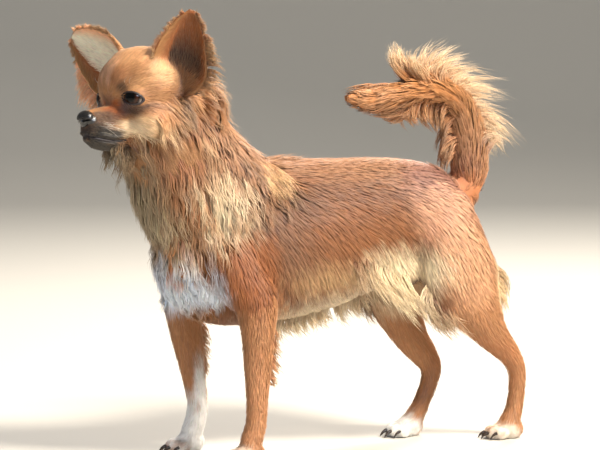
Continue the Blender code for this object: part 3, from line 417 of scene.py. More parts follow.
apply_modifiers(skin)
skin.vertex_groups.clear()


# Lie of the coat
# Hair grows in streams over the hide. Guides give its way, length and depth at places all over the
# dog, and the hide between them takes a blend of the nearest. Body guides serve both sides.

# Body: place, way, length, depth
BODY_GUIDES = [
    ((-70, 15, 226), (1, 0.1, -0.05), 13, 2.3), ((-10, 0, 226), (1, 0, 0), 12, 2.3),
    ((-10, 25, 218), (1, 0.15, -0.35), 12, 2.3), ((50, 0, 222), (1, 0, -0.1), 12, 2.3),
    ((50, 25, 208), (0.9, 0.1, -0.45), 12, 2.3), ((-110, 38, 185), (0.45, 0, -0.9), 14, 2.16),
    ((-112, 40, 140), (0.25, 0, -1), 12, 1.87), ((-85, 42, 175), (0.6, 0, -0.75), 14, 2.16),
    ((-50, 43, 190), (0.85, 0, -0.5), 14, 2.16), ((-50, 43, 165), (0.65, 0, -0.75), 14, 2.16),
    ((-50, 35, 125), (0.45, 0, -0.9), 15, 2.3), ((0, 38, 180), (0.85, 0, -0.5), 14, 2.16),
    ((0, 38, 150), (0.6, 0, -0.8), 15, 2.16), ((10, 35, 135), (0.45, 0, -0.9), 16, 2.16),
    ((60, 36, 200), (0.8, 0, -0.55), 13, 2.16), ((70, 42, 170), (0.6, 0, -0.8), 13, 2.02),
    ((75, 45, 140), (0.4, 0, -0.95), 12, 1.87), ((108, 28, 150), (0.3, 0, -0.95), 14, 2.16),
    ((45, 40, 125), (0.55, 0, -0.85), 15, 2.02), ((98, 0, 178), (0.4, 0, -0.9), 12, 2.16),
    ((-40, 0, 100), (0.7, 0, -0.5), 13, 2.16), ((-110, 0, 97), (0.7, 0, -0.6), 14, 2.16),
    ((75, 15, 120), (0.2, 0, -1), 10, 1.73), ((-105, 20, 118), (0.2, 0, -1), 10, 1.73),
]
# Head, in its own frame: place, way, length, depth
HEAD_GUIDES = [
    ((52, 0, -13), (-1, 0, 0.3), 2.2, 0.42), ((44, 0, -11), (-1, 0, 0.35), 2.6, 0.51),
    ((34, 0, -6), (-0.9, 0, 0.5), 3.2, 0.68), ((40, 10, -22), (-1, 0.3, -0.15), 3.4, 0.77),
    ((48, 8, -29), (-0.9, 0.3, -0.3), 2.4, 0.51), ((30, 14, -22), (-1, 0.2, -0.25), 4.5, 0.94),
    ((38, 0, -45), (-0.9, 0, -0.3), 5, 1.02), ((48, 0, -38), (-0.8, 0, -0.5), 3, 0.68),
    ((30, 0, 8), (-0.7, 0, 0.75), 5, 1.1), ((29, 12, 6), (-0.6, 0.35, 0.7), 4.6, 1.02),
    ((20, 0, 24), (-0.9, 0, 0.4), 6.5, 1.36), ((0, 0, 31), (-1, 0, 0.05), 8, 1.53),
    ((-22, 0, 24), (-0.9, 0, -0.5), 12, 2.04), ((22, 20, 8), (-0.75, 0.5, 0.35), 4.6, 1.02),
    ((12, 28, 0), (-0.95, 0.25, 0.05), 6, 1.1), ((22, 22, -18), (-0.85, 0.4, -0.25), 4.5, 0.85),
    ((26, 16, -14), (-0.7, 0.3, -0.6), 3.0, 0.59), ((5, 31, -20), (-0.9, 0.1, -0.4), 9, 1.53),
    ((12, 28, -30), (-0.85, 0.1, -0.5), 9, 1.53), ((-5, 31, 5), (-0.95, 0.1, 0.1), 8, 1.53),
    ((-6, 31, -14), (-0.85, 0.2, -0.45), 12, 2.04), ((10, 0, -46), (-0.9, 0, -0.4), 9, 1.7),
    ((-4, 26, -38), (-0.6, 0.1, -0.8), 14, 2.21),
]
# Neck and chest front: place, way, length, depth
NECK_GUIDES = [
    ((-176, 0, 190), (0.15, 0, -1), 26, 5.0), ((-168, 14, 176), (0.2, 0.1, -1), 24, 5.0),
    ((-166, 0, 158), (0.15, 0, -1), 18, 4.2), ((-158, 22, 150), (0.3, 0.1, -1), 17, 4.0),
    ((-150, 18, 122), (0.4, 0, -0.9), 14, 3.4),
]
# Ears: length and depth of their short hair
EAR_HAIR = (6.0, 0.3)
TOE_HAIR = (3.6, 0.9)
LABELS = ["body", "head", "neck", "leg", "tail", "ear"]
EAR_SAMPLES = 15


def unit(vectors):
    """Vectors of an array, each made one long."""
    return vectors / np.maximum(np.linalg.norm(vectors, axis=-1, keepdims=True), 1e-9)


def turned(matrix, vectors):
    """Directions of an array turned by a matrix."""
    return np.asarray(vectors, float) @ np.array(matrix.to_3x3()).T


def placed_at(matrix, points):
    """Places of an array moved by a matrix."""
    return turned(matrix, points) + np.array(matrix.translation)


def mirrored(vector):
    return (vector[0], -vector[1], vector[2])


def around(stations, label, way, length, depth, spots=8):
    """Guides round each ring of a limb. Length and depth run from the first ring to the last."""
    made = []
    rings = limb_rings(stations, 1)
    for i, ring in enumerate(rings):
        share = i / max(len(rings) - 1, 1)
        along = ring.to_3x3() @ Vector((0, 0, 1))
        for spot in range(spots):
            angle = math.tau * spot / spots
            place = ring @ Vector((math.cos(angle), math.sin(angle), 0))
            out = (place - ring.translation).normalized()
            lie = Vector(way) if way else (along + out * 0.12)
            long = length[0] + (length[1] - length[0]) * share
            deep = depth[0] + (depth[1] - depth[0]) * share
            made.append((label, tuple(place), tuple(lie), long, deep))
    return made


guides = []
for place, way, length, depth in BODY_GUIDES:
    guides.append(("body", place, way, length, depth))
    guides.append(("body", mirrored(place), mirrored(way), length, depth))
for place, way, length, depth in NECK_GUIDES:
    guides.append(("neck", place, way, length, depth))
    guides.append(("neck", mirrored(place), mirrored(way), length, depth))
for place, way, length, depth in HEAD_GUIDES:
    for spot, lie in ((place, way), (mirrored(place), mirrored(way))):
        spot, lie = head_frame @ Vector(spot), head_frame.to_3x3() @ Vector(lie)
        guides.append(("head", tuple(spot), tuple(lie), length, depth))
guides += around(NECK[1:5], "neck", (0.3, 0, -1), (30, 36), (5.5, 6.0), 10)
for limb, first in ((FORELEG_LEFT, 3), (FORELEG_RIGHT, 3), (HINDLEG_LEFT, 4), (HINDLEG_RIGHT, 4)):
    guides += around(limb[first:], "leg", None, (7.5, 4.5), (1.7, 1.0))
guides += around(TAIL[2:9], "tail", None, (17, 17), (3.6, 3.4), 6)
guides += around(TAIL[9:], "tail", None, (10, 8), (2.0, 0.4), 4)
for name in PAWS:
    for forward, side, toe_size in TOES:
        for rise, way in ((10, (0.9, 0, -0.5)), (6, (0.6, side * 0.02, -0.8))):
            spot = paw_frame(name) @ Vector((forward + 3, side, rise))
            guides.append(("leg", tuple(spot), tuple(paw_frame(name).to_3x3() @ Vector(way)), *TOE_HAIR))
ear_marks = []
for word in EARS:
    for i in range(EAR_SAMPLES):
        for j in range(EAR_SAMPLES):
            along, share = 0.1 + 0.88 * i / (EAR_SAMPLES - 1), 2 * j / (EAR_SAMPLES - 1) - 1
            place = ear_point(word, along, share)
            up = ear_point(word, along + 0.02, share) - place
            out = ear_point(word, along, share * 1.02 + 0.01) - ear_point(word, along, share * 0.98 - 0.01)
            across = out.normalized()
            lie = up.normalized() + across * share * 0.9
            facing = across.cross(up).normalized()
            ear_marks.append((word == "left", along, share, *place, *facing))
            if i % 3 == 1 and j % 3 == 1:
                guides.append(("ear", tuple(place), tuple(lie), *EAR_HAIR))
ear_marks = np.array(ear_marks)
guide_places = np.array([guide[1] for guide in guides], float)
guide_ways = unit(np.array([guide[2] for guide in guides], float))
guide_sizes = np.array([guide[3:5] for guide in guides], float)
guide_labels = np.array([LABELS.index(guide[0]) for guide in guides])
GUIDE_REACH = 3.0


def lie_of_coat(points, normals):
    """Way, length, depth and label of the coat at places on the hide."""
    ways, sizes, labels = [], [], []
    for start in range(0, len(points), 6000):
        block = points[start:start + 6000]
        square = ((block[:, None] - guide_places[None]) ** 2).sum(-1)
        weight = 1 / (square + GUIDE_REACH**2) ** 2.2
        weight /= weight.sum(1, keepdims=True)
        ways.append(weight @ guide_ways)
        sizes.append(weight @ guide_sizes)
        labels.append(guide_labels[square.argmin(1)])
    ways, sizes, labels = np.concatenate(ways), np.concatenate(sizes), np.concatenate(labels)
    ways -= normals * (ways * normals).sum(1, keepdims=True)
    return unit(ways), sizes[:, 0], sizes[:, 1], labels


def mesh_arrays(mesh):
    """Places in the modeller's millimetres and outward ways of a mesh's points."""
    places, outward = np.empty(len(mesh.vertices) * 3), np.empty(len(mesh.vertices) * 3)
    mesh.vertices.foreach_get("co", places)
    mesh.vertices.foreach_get("normal", outward)
    return places.reshape(-1, 3) / MM - np.array(TO_ORIGIN), outward.reshape(-1, 3)


def put_places(mesh, places):
    mesh.vertices.foreach_set("co", ((places + np.array(TO_ORIGIN)) * MM).ravel())
    mesh.update()


places, outward = mesh_arrays(skin.data)
depths = lie_of_coat(places, outward)[2]
places -= outward * depths[:, None]
places[:, 2] = np.maximum(places[:, 2], 0.0)

# The mouth line in the head's frame: forward, height, degrees round to the side
MOUTH_LINE = [(36, -31.0, 0), (36, -33.0, 28), (36, -35.2, 56), (34, -36.4, 84), (27, -36.0, 90), (20, -34.4, 90)]
put_places(skin.data, places)
hide = BVHTree.FromPolygons(places.tolist(), [tuple(face.vertices) for face in skin.data.polygons])
mouth_run = {}
for side in (1, -1):
    run = []
    for forward, height, round_to in smooth_rings(MOUTH_LINE, 4):
        angle = math.radians(round_to)
        way = (head_frame.to_3x3() @ Vector((math.cos(angle), side * math.sin(angle), 0))).normalized()
        run.append(hide.ray_cast(head_frame @ Vector((forward, 0, height)), way, 60)[0])
    mouth_run[side] = run
mouth_places = np.array([tuple(point) for side in (1, -1) for point in mouth_run[side]])
near_mouth = np.sqrt(((places[:, None] - mouth_places[None]) ** 2).sum(-1)).min(1)
groove = 1.5 * np.exp(-((near_mouth / 1.0) ** 2)) - 0.9 * np.exp(-(((near_mouth - 2.6) / 1.3) ** 2))
places -= outward * groove[:, None]
put_places(skin.data, places)

for side in (1, -1):
    bm = bmesh.new()
    mass(bm, (EYE_RADIUS + 0.6, 0, 0), EYE_OPENING, eye_frame(side), 48)
    opening = new_object("opening", bm)
    cut = skin.modifiers.new("Opening", "BOOLEAN")
    cut.operation = "DIFFERENCE"
    cut.solver = "MANIFOLD"
    cut.object = opening
    apply_modifiers(skin)
    bpy.data.objects.remove(opening)

skin.data.name = "skin"
bpy.context.view_layer.objects.active = skin
skin.select_set(True)
bpy.ops.object.mode_set(mode="EDIT")
bpy.ops.mesh.select_all(action="SELECT")
bpy.ops.uv.smart_project(angle_limit=math.radians(66), island_margin=0.002)
bpy.ops.object.mode_set(mode="OBJECT")
skin.data.uv_layers.active.name = "OFBake"

places, outward = mesh_arrays(skin.data)
ways, lengths, depths, labels = lie_of_coat(places, outward)
skin.data.calc_loop_triangles()
triangles = np.empty(len(skin.data.loop_triangles) * 3, int)
skin.data.loop_triangles.foreach_get("vertices", triangles)
triangles = triangles.reshape(-1, 3)
corners = np.empty(len(skin.data.loop_triangles) * 3, int)
skin.data.loop_triangles.foreach_get("loops", corners)
corners = corners.reshape(-1, 3)
spots = np.empty(len(skin.data.loops) * 2)
skin.data.uv_layers["OFBake"].uv.foreach_get("vector", spots)
spots = spots.reshape(-1, 2)
spans = np.cross(places[triangles[:, 1]] - places[triangles[:, 0]], places[triangles[:, 2]] - places[triangles[:, 0]])
areas = np.linalg.norm(spans, axis=1) / 2
hide = BVHTree.FromPolygons(places.tolist(), triangles.tolist())
face_ways = [Vector(way) for way in unit(ways[triangles].mean(1))]
print("hide", len(triangles), "area", areas.sum(), [int(areas[labels[triangles[:, 0]] == i].sum()) for i in range(6)])


# Markings
# The coat is red fawn, shaded by blotches with soft, ragged edges: cream on cheeks, mane tips, belly
# and trousers, white on the chest and toes, sable over the shoulder and black skin at eyes and lips.
# Some blotches are painted light and shade: painted sunlight on the back, hip, thigh and crown, a bluish
# painted shade on the white chest, painted shade under the shoulder tuft, in the throat, in the jaw's
# fold, on the hind shanks, on the brow and in the near ear's hollow, and a painted glow in the far ear.

# Body blotches on both sides, painted light and shade among them: centre, half sizes, colour, strength
BODY_MARKS_AND_PAINTED_LIGHT = [
    # Lighter fawn over the back: partly the coat's paler tone, partly painted sunlight on the top
    ((0, 0, 235), (170, 60, 32), "#B2805E", 0.85),
    ((70, 20, 205), (40, 30, 24), "#93655A", 0.85),
    ((-62, 40, 168), (40, 22, 34), "#8A6248", 0.7),
    # Painted shadow under the shoulder tuft
    ((-92, 33, 208), (13, 10, 6), "#54321E", 0.85),
    ((-76, 37, 203), (13, 9, 6), "#54321E", 0.85),
    ((-61, 39, 193), (7, 8, 9), "#54321E", 0.85),
    # Lighter hip and thigh: partly paler coat, partly a painted sunlit highlight
    ((64, 38, 182), (30, 22, 24), "#DCA585", 0.85),
    ((79, 42, 140), (27, 20, 32), "#DDA67E", 0.88),
    ((-15, 40, 168), (46, 18, 28), "#915A32", 0.85),
    ((25, 36, 136), (38, 18, 17), "#F8E4C0", 1.0),
    ((-27, 38, 132), (46, 16, 12), "#D9B080", 0.6),
    ((62, 12, 120), (18, 16, 14), "#E0BE94", 0.8),
    ((-10, 0, 106), (74, 34, 20), "#EAD6B6", 0.85),
    ((114, 26, 122), (12, 14, 18), "#F0D4A8", 0.85),
    ((-108, 40, 146), (24, 16, 36), "#9C5A2B", 0.85),
    # Greyish throat under the jaw: painted shade
    ((-176, 0, 210), (22, 28, 44), "#97866A", 0.8),
    ((-170, 0, 180), (18, 20, 30), "#8C7C62", 0.75),
    ((-162, 22, 160), (16, 14, 14), "#D9C29E", 0.8),
    # White chest, with a bluish tint that is painted shade
    ((-156, 12, 128), (20, 26, 20), "#E4EFFF", 1.0),
    ((-138, 32, 123), (15, 14, 15), "#E4EFFF", 1.0),
    ((-126, 42, 188), (30, 16, 17), "#FBE6C2", 0.95),
    ((-134, 46, 232), (7, 12, 28), "#F0D4A4", 0.85),
    ((-160, 36, 230), (15, 16, 26), "#8A4F26", 0.75),
    ((-148, 40, 212), (20, 16, 18), "#9E6030", 0.7),
    ((100, 0, 196), (22, 24, 14), "#BC7746", 0.7),
    # Hind shanks darkened as painted shade
    ((104, 30, 60), (26, 16, 26), "#AE6E43", 0.7),
    ((-102, 38, 40), (16, 14, 40), "#CB8E63", 0.6),
    ((120, 22, 3), (14, 18, 9), "#F4ECDF", 0.9),
    ((-116, 36, 3), (12, 18, 10), "#F4ECDF", 0.9),
]
# Blotches on one side only
SIDE_MARKS = [
    ((-157, -17, 148), (9, 10, 10), "#CC7C3C", 1.0),
    ((-124, 32, 14), (22, 18, 27), "#FCFCFC", 1.0),
    ((-116, 22, 48), (8, 9, 30), "#FCFCFC", 1.0),
    ((50, 22, 6), (20, 18, 13), "#FBFAF8", 1.0),
]
# Head blotches in the head's frame, on both sides, painted light and shade among them
HEAD_MARKS_AND_PAINTED_LIGHT = [
    # Lighter crown: partly the coat's paler tan, partly painted sunlight on the top of the head. The darker patch on
    # the brow below it is painted shade
    ((8, 0, 26), (30, 26, 14), "#DBA272", 0.7),
    ((30, 12, 11), (10, 9, 9), "#A66A42", 0.65),
    ((31, 3, 17), (8, 4, 12), "#E4AE8C", 0.7),
    ((0, 28, 11), (13, 8, 10), "#E6B684", 0.7),
    ((18, 25, 3), (8, 6, 5), "#DDA674", 0.6),
    ((36, 3, -7), (12, 5, 6), "#966A50", 0.8),
    ((33, 9, -14), (10, 6, 7), "#B0591F", 0.85),
    ((43, 10, -20), (11, 8, 9), "#462A14", 0.9),
    ((12, 27, -29), (20, 11, 9), "#EBC294", 0.9),
    ((22, 18, -30), (12, 10, 7), "#F8DCB6", 0.95),
    ((7, 30, -17), (12, 8, 5), "#CC8E60", 0.7),
    ((-13, 31, -16), (8, 10, 16), "#5E341C", 0.85),
    ((-6, 30, -40), (14, 10, 9), "#C98A50", 0.6),
    # Thin dark strip under the jaw: painted shade in the fold between head and neck
    ((4, 25, -42), (15, 8, 4), "#7A4A28", 0.7),
    ((50, 6, -28), (9, 11, 7), "#2A2220", 0.95),
    ((41, 12, -34), (14, 9, 6.5), "#171413", 1.0),
    ((39, 0, -50), (22, 20, 15), "#35302E", 0.95),
    ((46, 0, -39), (15, 14, 8.5), "#2E2A29", 1.0),
    ((-22, 0, 18), (16, 30, 22), "#A4683C", 0.85),
    ((28, 17, -12), (6, 6, 7), "#54434A", 0.9),
    ((21, 21, -15), (9, 6, 4.5), "#43271C", 0.9),
    ((29, 15, 2), (4, 4, 4), "#3A2417", 0.85),
    ((10, 29, -13), (7, 5, 2), "#4A2A18", 0.75),
]
BASE_COAT, HEAD_COAT, TAIL_COAT = "#7C4B29", "#B57F52", "#BA7A44"
LEG_COAT, NECK_COAT = "#B0784E", "#8C572C"
RAGGED = 0.16
ragged_waves = np.random.default_rng(5)
wave_ways = ragged_waves.normal(size=(10, 3))
wave_ways = unit(wave_ways) / ragged_waves.uniform(4.0, 16.0, (10, 1)) * math.tau
wave_starts = ragged_waves.uniform(0, math.tau, 10)


def ripple(points):
    """A smooth uneven value over space, near nought, that roughens edges."""
    return np.sin(points @ wave_ways.T + wave_starts).sum(1) / math.sqrt(10)


def marked(colour, points, marks, both_sides):
    """Lays blotches over a colour, painted light and shade among them."""
    uneven = ripple(points) * RAGGED
    for centre, half_sizes, hex_colour, strength in marks:
        spot = points.copy()
        if both_sides:
            spot[:, 1] = np.abs(spot[:, 1])
        reach = np.linalg.norm((spot - centre) / half_sizes, axis=1) + uneven
        share = np.clip((1.36 - reach) / 0.74, 0, 1)
        share = (share * share * (3 - 2 * share) * strength)[:, None]
        colour = colour * (1 - share) + np.array(linear(hex_colour)) * share
    return colour


def ear_place(points):
    """How far a place is from the ears' middle layer, and where along and across the ear it lies."""
    gap, nearest = np.full(len(points), 99.0), np.zeros(len(points), int)
    close = np.flatnonzero(points[:, 2] > 270)
    for start in range(0, len(close), 6000):
        block = close[start:start + 6000]
        square = ((points[block, None] - ear_marks[None, :, 3:6]) ** 2).sum(-1)
        nearest[block] = square.argmin(1)
        gap[block] = np.sqrt(square.min(1))
    return gap, nearest


def coat_colour(points, normals, labels):
    """The marking's colour at places on the hide, with its painted light and shade."""
    base = np.array([linear(colour) for colour in (BASE_COAT, HEAD_COAT, NECK_COAT, LEG_COAT, TAIL_COAT, HEAD_COAT)])
    colour = base[labels]
    body = marked(marked(colour, points, BODY_MARKS_AND_PAINTED_LIGHT, True), points, SIDE_MARKS, False)
    inverse = head_frame.inverted()
    head_points = placed_at(inverse, points)
    head = marked(colour, head_points, HEAD_MARKS_AND_PAINTED_LIGHT, True)
    on_face = np.linalg.norm((head_points - (38, 0, -36)) / (28, 26, 32), axis=1) < 1
    on_head = ((labels == LABELS.index("head")) | (labels == LABELS.index("ear")) | on_face)[:, None]
    colour = np.where(on_head, head, body)
    gap, nearest = ear_place(points)
    mark = ear_marks[nearest]
    inside = (mark[:, 6:9] * normals).sum(1) > 0
    left, along, share = mark[:, 0] > 0.5, mark[:, 1:2], mark[:, 2:3]
    edge = np.clip((np.abs(share) - 0.55) / 0.35, 0, 1)
    rear = np.array(linear("#A85C28")) * (1 - edge) + np.array(linear("#A07040")) * edge
    # Painted shade in the near ear's hollow
    painted_hollow_shade = np.clip((0.75 - along) / 0.4, 0, 1) * (1 - edge)
    left_inside = np.array(linear("#92501F")) * (1 - painted_hollow_shade) + np.array(linear("#3A1D0E")) * painted_hollow_shade
    # Inside of the far ear: cream with a peach rim, brightened as a painted glow of light shining through it
    peach = np.clip((np.abs(share) - 0.35) / 0.5, 0, 1)
    right_inside_and_glow = np.array(linear("#FFF0D2")) * (1 - peach) + np.array(linear("#FFB888")) * peach
    ear = np.where(inside[:, None], np.where(left[:, None], left_inside, right_inside_and_glow), rear)
    on_ear = (np.clip((5.0 - gap) / 2.5, 0, 1) * np.clip((mark[:, 1] - 0.12) / 0.12, 0, 1))[:, None]
    return colour * (1 - on_ear) + ear * on_ear


def eye_reach(points):
    """How far out from the eye opening a place is, one at its edge."""
    least = np.full(len(points), 9.0)
    for side in (1, -1):
        spot = placed_at(eye_frame(side).inverted(), points)
        reach = np.linalg.norm((spot - (EYE_RADIUS, 0, 0)) / (9.0, EYE_OPENING[1], EYE_OPENING[2]), axis=1)
        least = np.minimum(least, reach)
    return least


BLACK_SKIN = np.array(linear("#1A1516"))
skin_colour = coat_colour(places, outward, labels)
rim = np.clip((1.22 - eye_reach(places)) / 0.12, 0, 1)[:, None]
skin_colour = skin_colour * (1 - rim) + BLACK_SKIN * rim
near_mouth = np.sqrt(((places[:, None] - mouth_places[None]) ** 2).sum(-1)).min(1)
lip = np.clip((4.2 - near_mouth) / 1.6, 0, 1)[:, None]
skin_colour = skin_colour * (1 - lip) + BLACK_SKIN * lip
paint_layer = skin.data.color_attributes.new("coat_colour", "FLOAT_COLOR", "POINT")
paint_layer.data.foreach_set("color", np.column_stack((skin_colour, np.ones(len(places)))).ravel())

hide_finish, tree, shader = new_material("haired_hide", Roughness=0.75)
seen = add_node(tree, "ShaderNodeAttribute", attribute_name="coat_colour")
where = add_node(tree, "ShaderNodeTexCoord")
grain = add_node(tree, "ShaderNodeTexNoise", {"Vector": where.outputs["Object"], "Scale": 2200.0, "Detail": 2.0})
shade = add_node(tree, "ShaderNodeMapRange", {0: grain.outputs["Fac"], 1: 0.3, 2: 0.7, 3: 0.95, 4: 1.05})
tint = add_node(tree, "ShaderNodeVectorMath", {0: seen.outputs["Color"], 1: shade.outputs[0]}, operation="MULTIPLY")
bump = add_node(tree, "ShaderNodeBump", {"Height": grain.outputs["Fac"], "Distance": 0.0001, "Strength": 0.3})
tree.links.new(tint.outputs[0], shader.inputs["Base Color"])
tree.links.new(bump.outputs[0], shader.inputs["Normal"])
skin.data.materials.clear()
skin.data.materials.append(hide_finish)
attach(skin, "root")
FLESH = ["head", "neck", "torso", "tail_root", "tail_curve", "tail_tip", "ear_left", "ear_right"]
FLESH += [part + side for part in ("foreleg_", "forepaw_", "thigh_", "shank_", "hindpaw_") for side in ("left", "right")]
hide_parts(*FLESH)


# Coat
# Hair stands in locks: a path combed over the hide for each, and strands gathered along it. A strand
# is a closed three-sided taper. Its colour is darkened towards the root as painted shade down in the coat, and pales
# at the tip.

coat_finish, tree, shader = new_material("dog_hair", Roughness=0.5)
shader.inputs["Specular IOR Level"].default_value = 0.35
shader.inputs["Sheen Weight"].default_value = 0.15
seen = add_node(tree, "ShaderNodeAttribute", attribute_name="coat_colour")
where = add_node(tree, "ShaderNodeTexCoord")
grain = add_node(tree, "ShaderNodeTexNoise", {"Vector": where.outputs["Object"], "Scale": 160.0, "Detail": 3.0})
shade = add_node(tree, "ShaderNodeMapRange", {0: grain.outputs["Fac"], 1: 0.3, 2: 0.7, 3: 0.88, 4: 1.1})
tint = add_node(tree, "ShaderNodeVectorMath", {0: seen.outputs["Color"], 1: shade.outputs[0]}, operation="MULTIPLY")
gloss = add_node(tree, "ShaderNodeMapRange", {0: grain.outputs["Fac"], 3: 0.42, 4: 0.6})
tree.links.new(tint.outputs[0], shader.inputs["Base Color"])
tree.links.new(gloss.outputs[0], shader.inputs["Roughness"])
PIECE_LIMIT = 190000
UV_PATCH = 0.003
# How far a strand's shading rolls round it, one for a round bar
ROUNDNESS = 0.55


def scatter(share, spacing, seed):
    """Roots spread evenly over the hide where its points' share is high."""
    rng = np.random.default_rng(seed)
    weight = areas * share[triangles].mean(1)
    count = int(weight.sum() / spacing**2 * 1.5)
    chosen = rng.choice(len(triangles), count, p=weight / weight.sum())
    mix = rng.dirichlet((1, 1, 1), count)[:, :, None]
    spot = (places[triangles[chosen]] * mix).sum(1)
    cells = np.floor(spot / (spacing * 0.85) + rng.uniform(0, 1, 3)).astype(int)
    kept = np.sort(np.unique(cells, axis=0, return_index=True)[1])
    chosen, mix = chosen[kept], mix[kept]
    corner = triangles[chosen]
    normal = unit((outward[corner] * mix).sum(1))
    return {
        "place": spot[kept], "out": normal, "way": unit((ways[corner] * mix).sum(1)),
        "length": (lengths[corner] * mix[:, :, 0]).sum(1), "depth": (depths[corner] * mix[:, :, 0]).sum(1),
        "label": labels[corner[:, 0]], "uv": (spots[corners[chosen]] * mix).sum(1),
    }


def root_facts(points):
    """The nearest place on the hide to each point, with its way out and its place on the unwrap."""
    near, out, where, index = [], [], [], []
    for point in points:
        spot, normal, face, gap = hide.find_nearest(Vector(point))
        near.append(tuple(spot))
        out.append(tuple(normal))
        index.append(face)
        where.append(tuple(spots[corners[face]].mean(0)))
    return np.array(near), np.array(out), np.array(where), labels[triangles[np.array(index), 0]]


def comb(roots, first, last, lengths, lifts, steps, follow=0.7, cling=True, fall=0.0, sink=0.8):
    """Paths of locks over the hide. They follow its lie by a share, cling or hang, and lift to a height."""
    points, ups = [], []
    down = Vector((0, 0, -1))
    for root, start, end, length, lift in zip(roots, first, last, lengths, lifts):
        here, out, face, gap = hide.find_nearest(Vector(root))
        path, faces = [here - out * sink], [out]
        start, end, way = Vector(start), Vector(end), Vector(start)
        for step in range(1, steps + 1):
            share = step / steps
            wish = start.lerp(end, share)
            way = (wish * (1 - follow) + face_ways[face] * follow + way * 0.5 + down * fall * share).normalized()
            if cling or (here - path[-1]).length < 1e-6:
                way = (way - out * way.dot(out)).normalized()
            here = here + way * (length / steps)
            near, normal, face, gap = hide.find_nearest(here)
            height = (here - near).dot(normal)
            floor = lift * share**0.7
            if cling or height < floor:
                here = near + normal * floor
            out = normal
            path.append(here.copy())
            faces.append(normal)
        points.append([tuple(point) for point in path])
        ups.append([tuple(face) for face in faces])
    return np.array(points), np.array(ups)


def brush(points, ups, count, spread, clump, wave, stray, short, seed, curls=1.0):
    """Strands of each lock: set apart at the root, drawn together, waved, strayed and cut to length."""
    rng = np.random.default_rng(seed)
    locks, steps, _ = points.shape
    points, ups = np.repeat(points, count, 0), np.repeat(ups, count, 0)
    total = locks * count
    t = np.linspace(0, 1, steps)[None, :, None]
    along = unit(np.gradient(points, axis=1))
    across = unit(np.cross(along, ups))
    above = np.cross(across, along)
    gather = 1 - clump * t**1.2
    phase = np.repeat(rng.uniform(0, math.tau, (locks, 1, 1)), count, 0) + rng.normal(0, 0.5, (total, 1, 1))
    sway = wave * t * np.sin(phase + t * curls * math.tau)
    lean = rng.normal(0, 1, (total, 1, 2)) * stray
    aside = rng.uniform(-1, 1, (total, 1, 1)) * spread * gather + sway + lean[:, :, :1] * t**1.6
    rise = rng.uniform(-0.3, 0.5, (total, 1, 1)) * spread * gather * t**0.3 + np.abs(lean[:, :, 1:]) * t**1.6
    points = points + across * aside + above * (rise + 0.5 * wave * t * np.cos(phase + t * curls * math.tau))
    cut = rng.uniform(short, 1, (total, 1)) * np.linspace(0, 1, steps)[None] * (steps - 1)
    low = np.minimum(cut.astype(int), steps - 2)
    part = (cut - low)[:, :, None]
    row = np.arange(total)[:, None]
    points = points[row, low] * (1 - part) + points[row, low + 1] * part
    return points, above


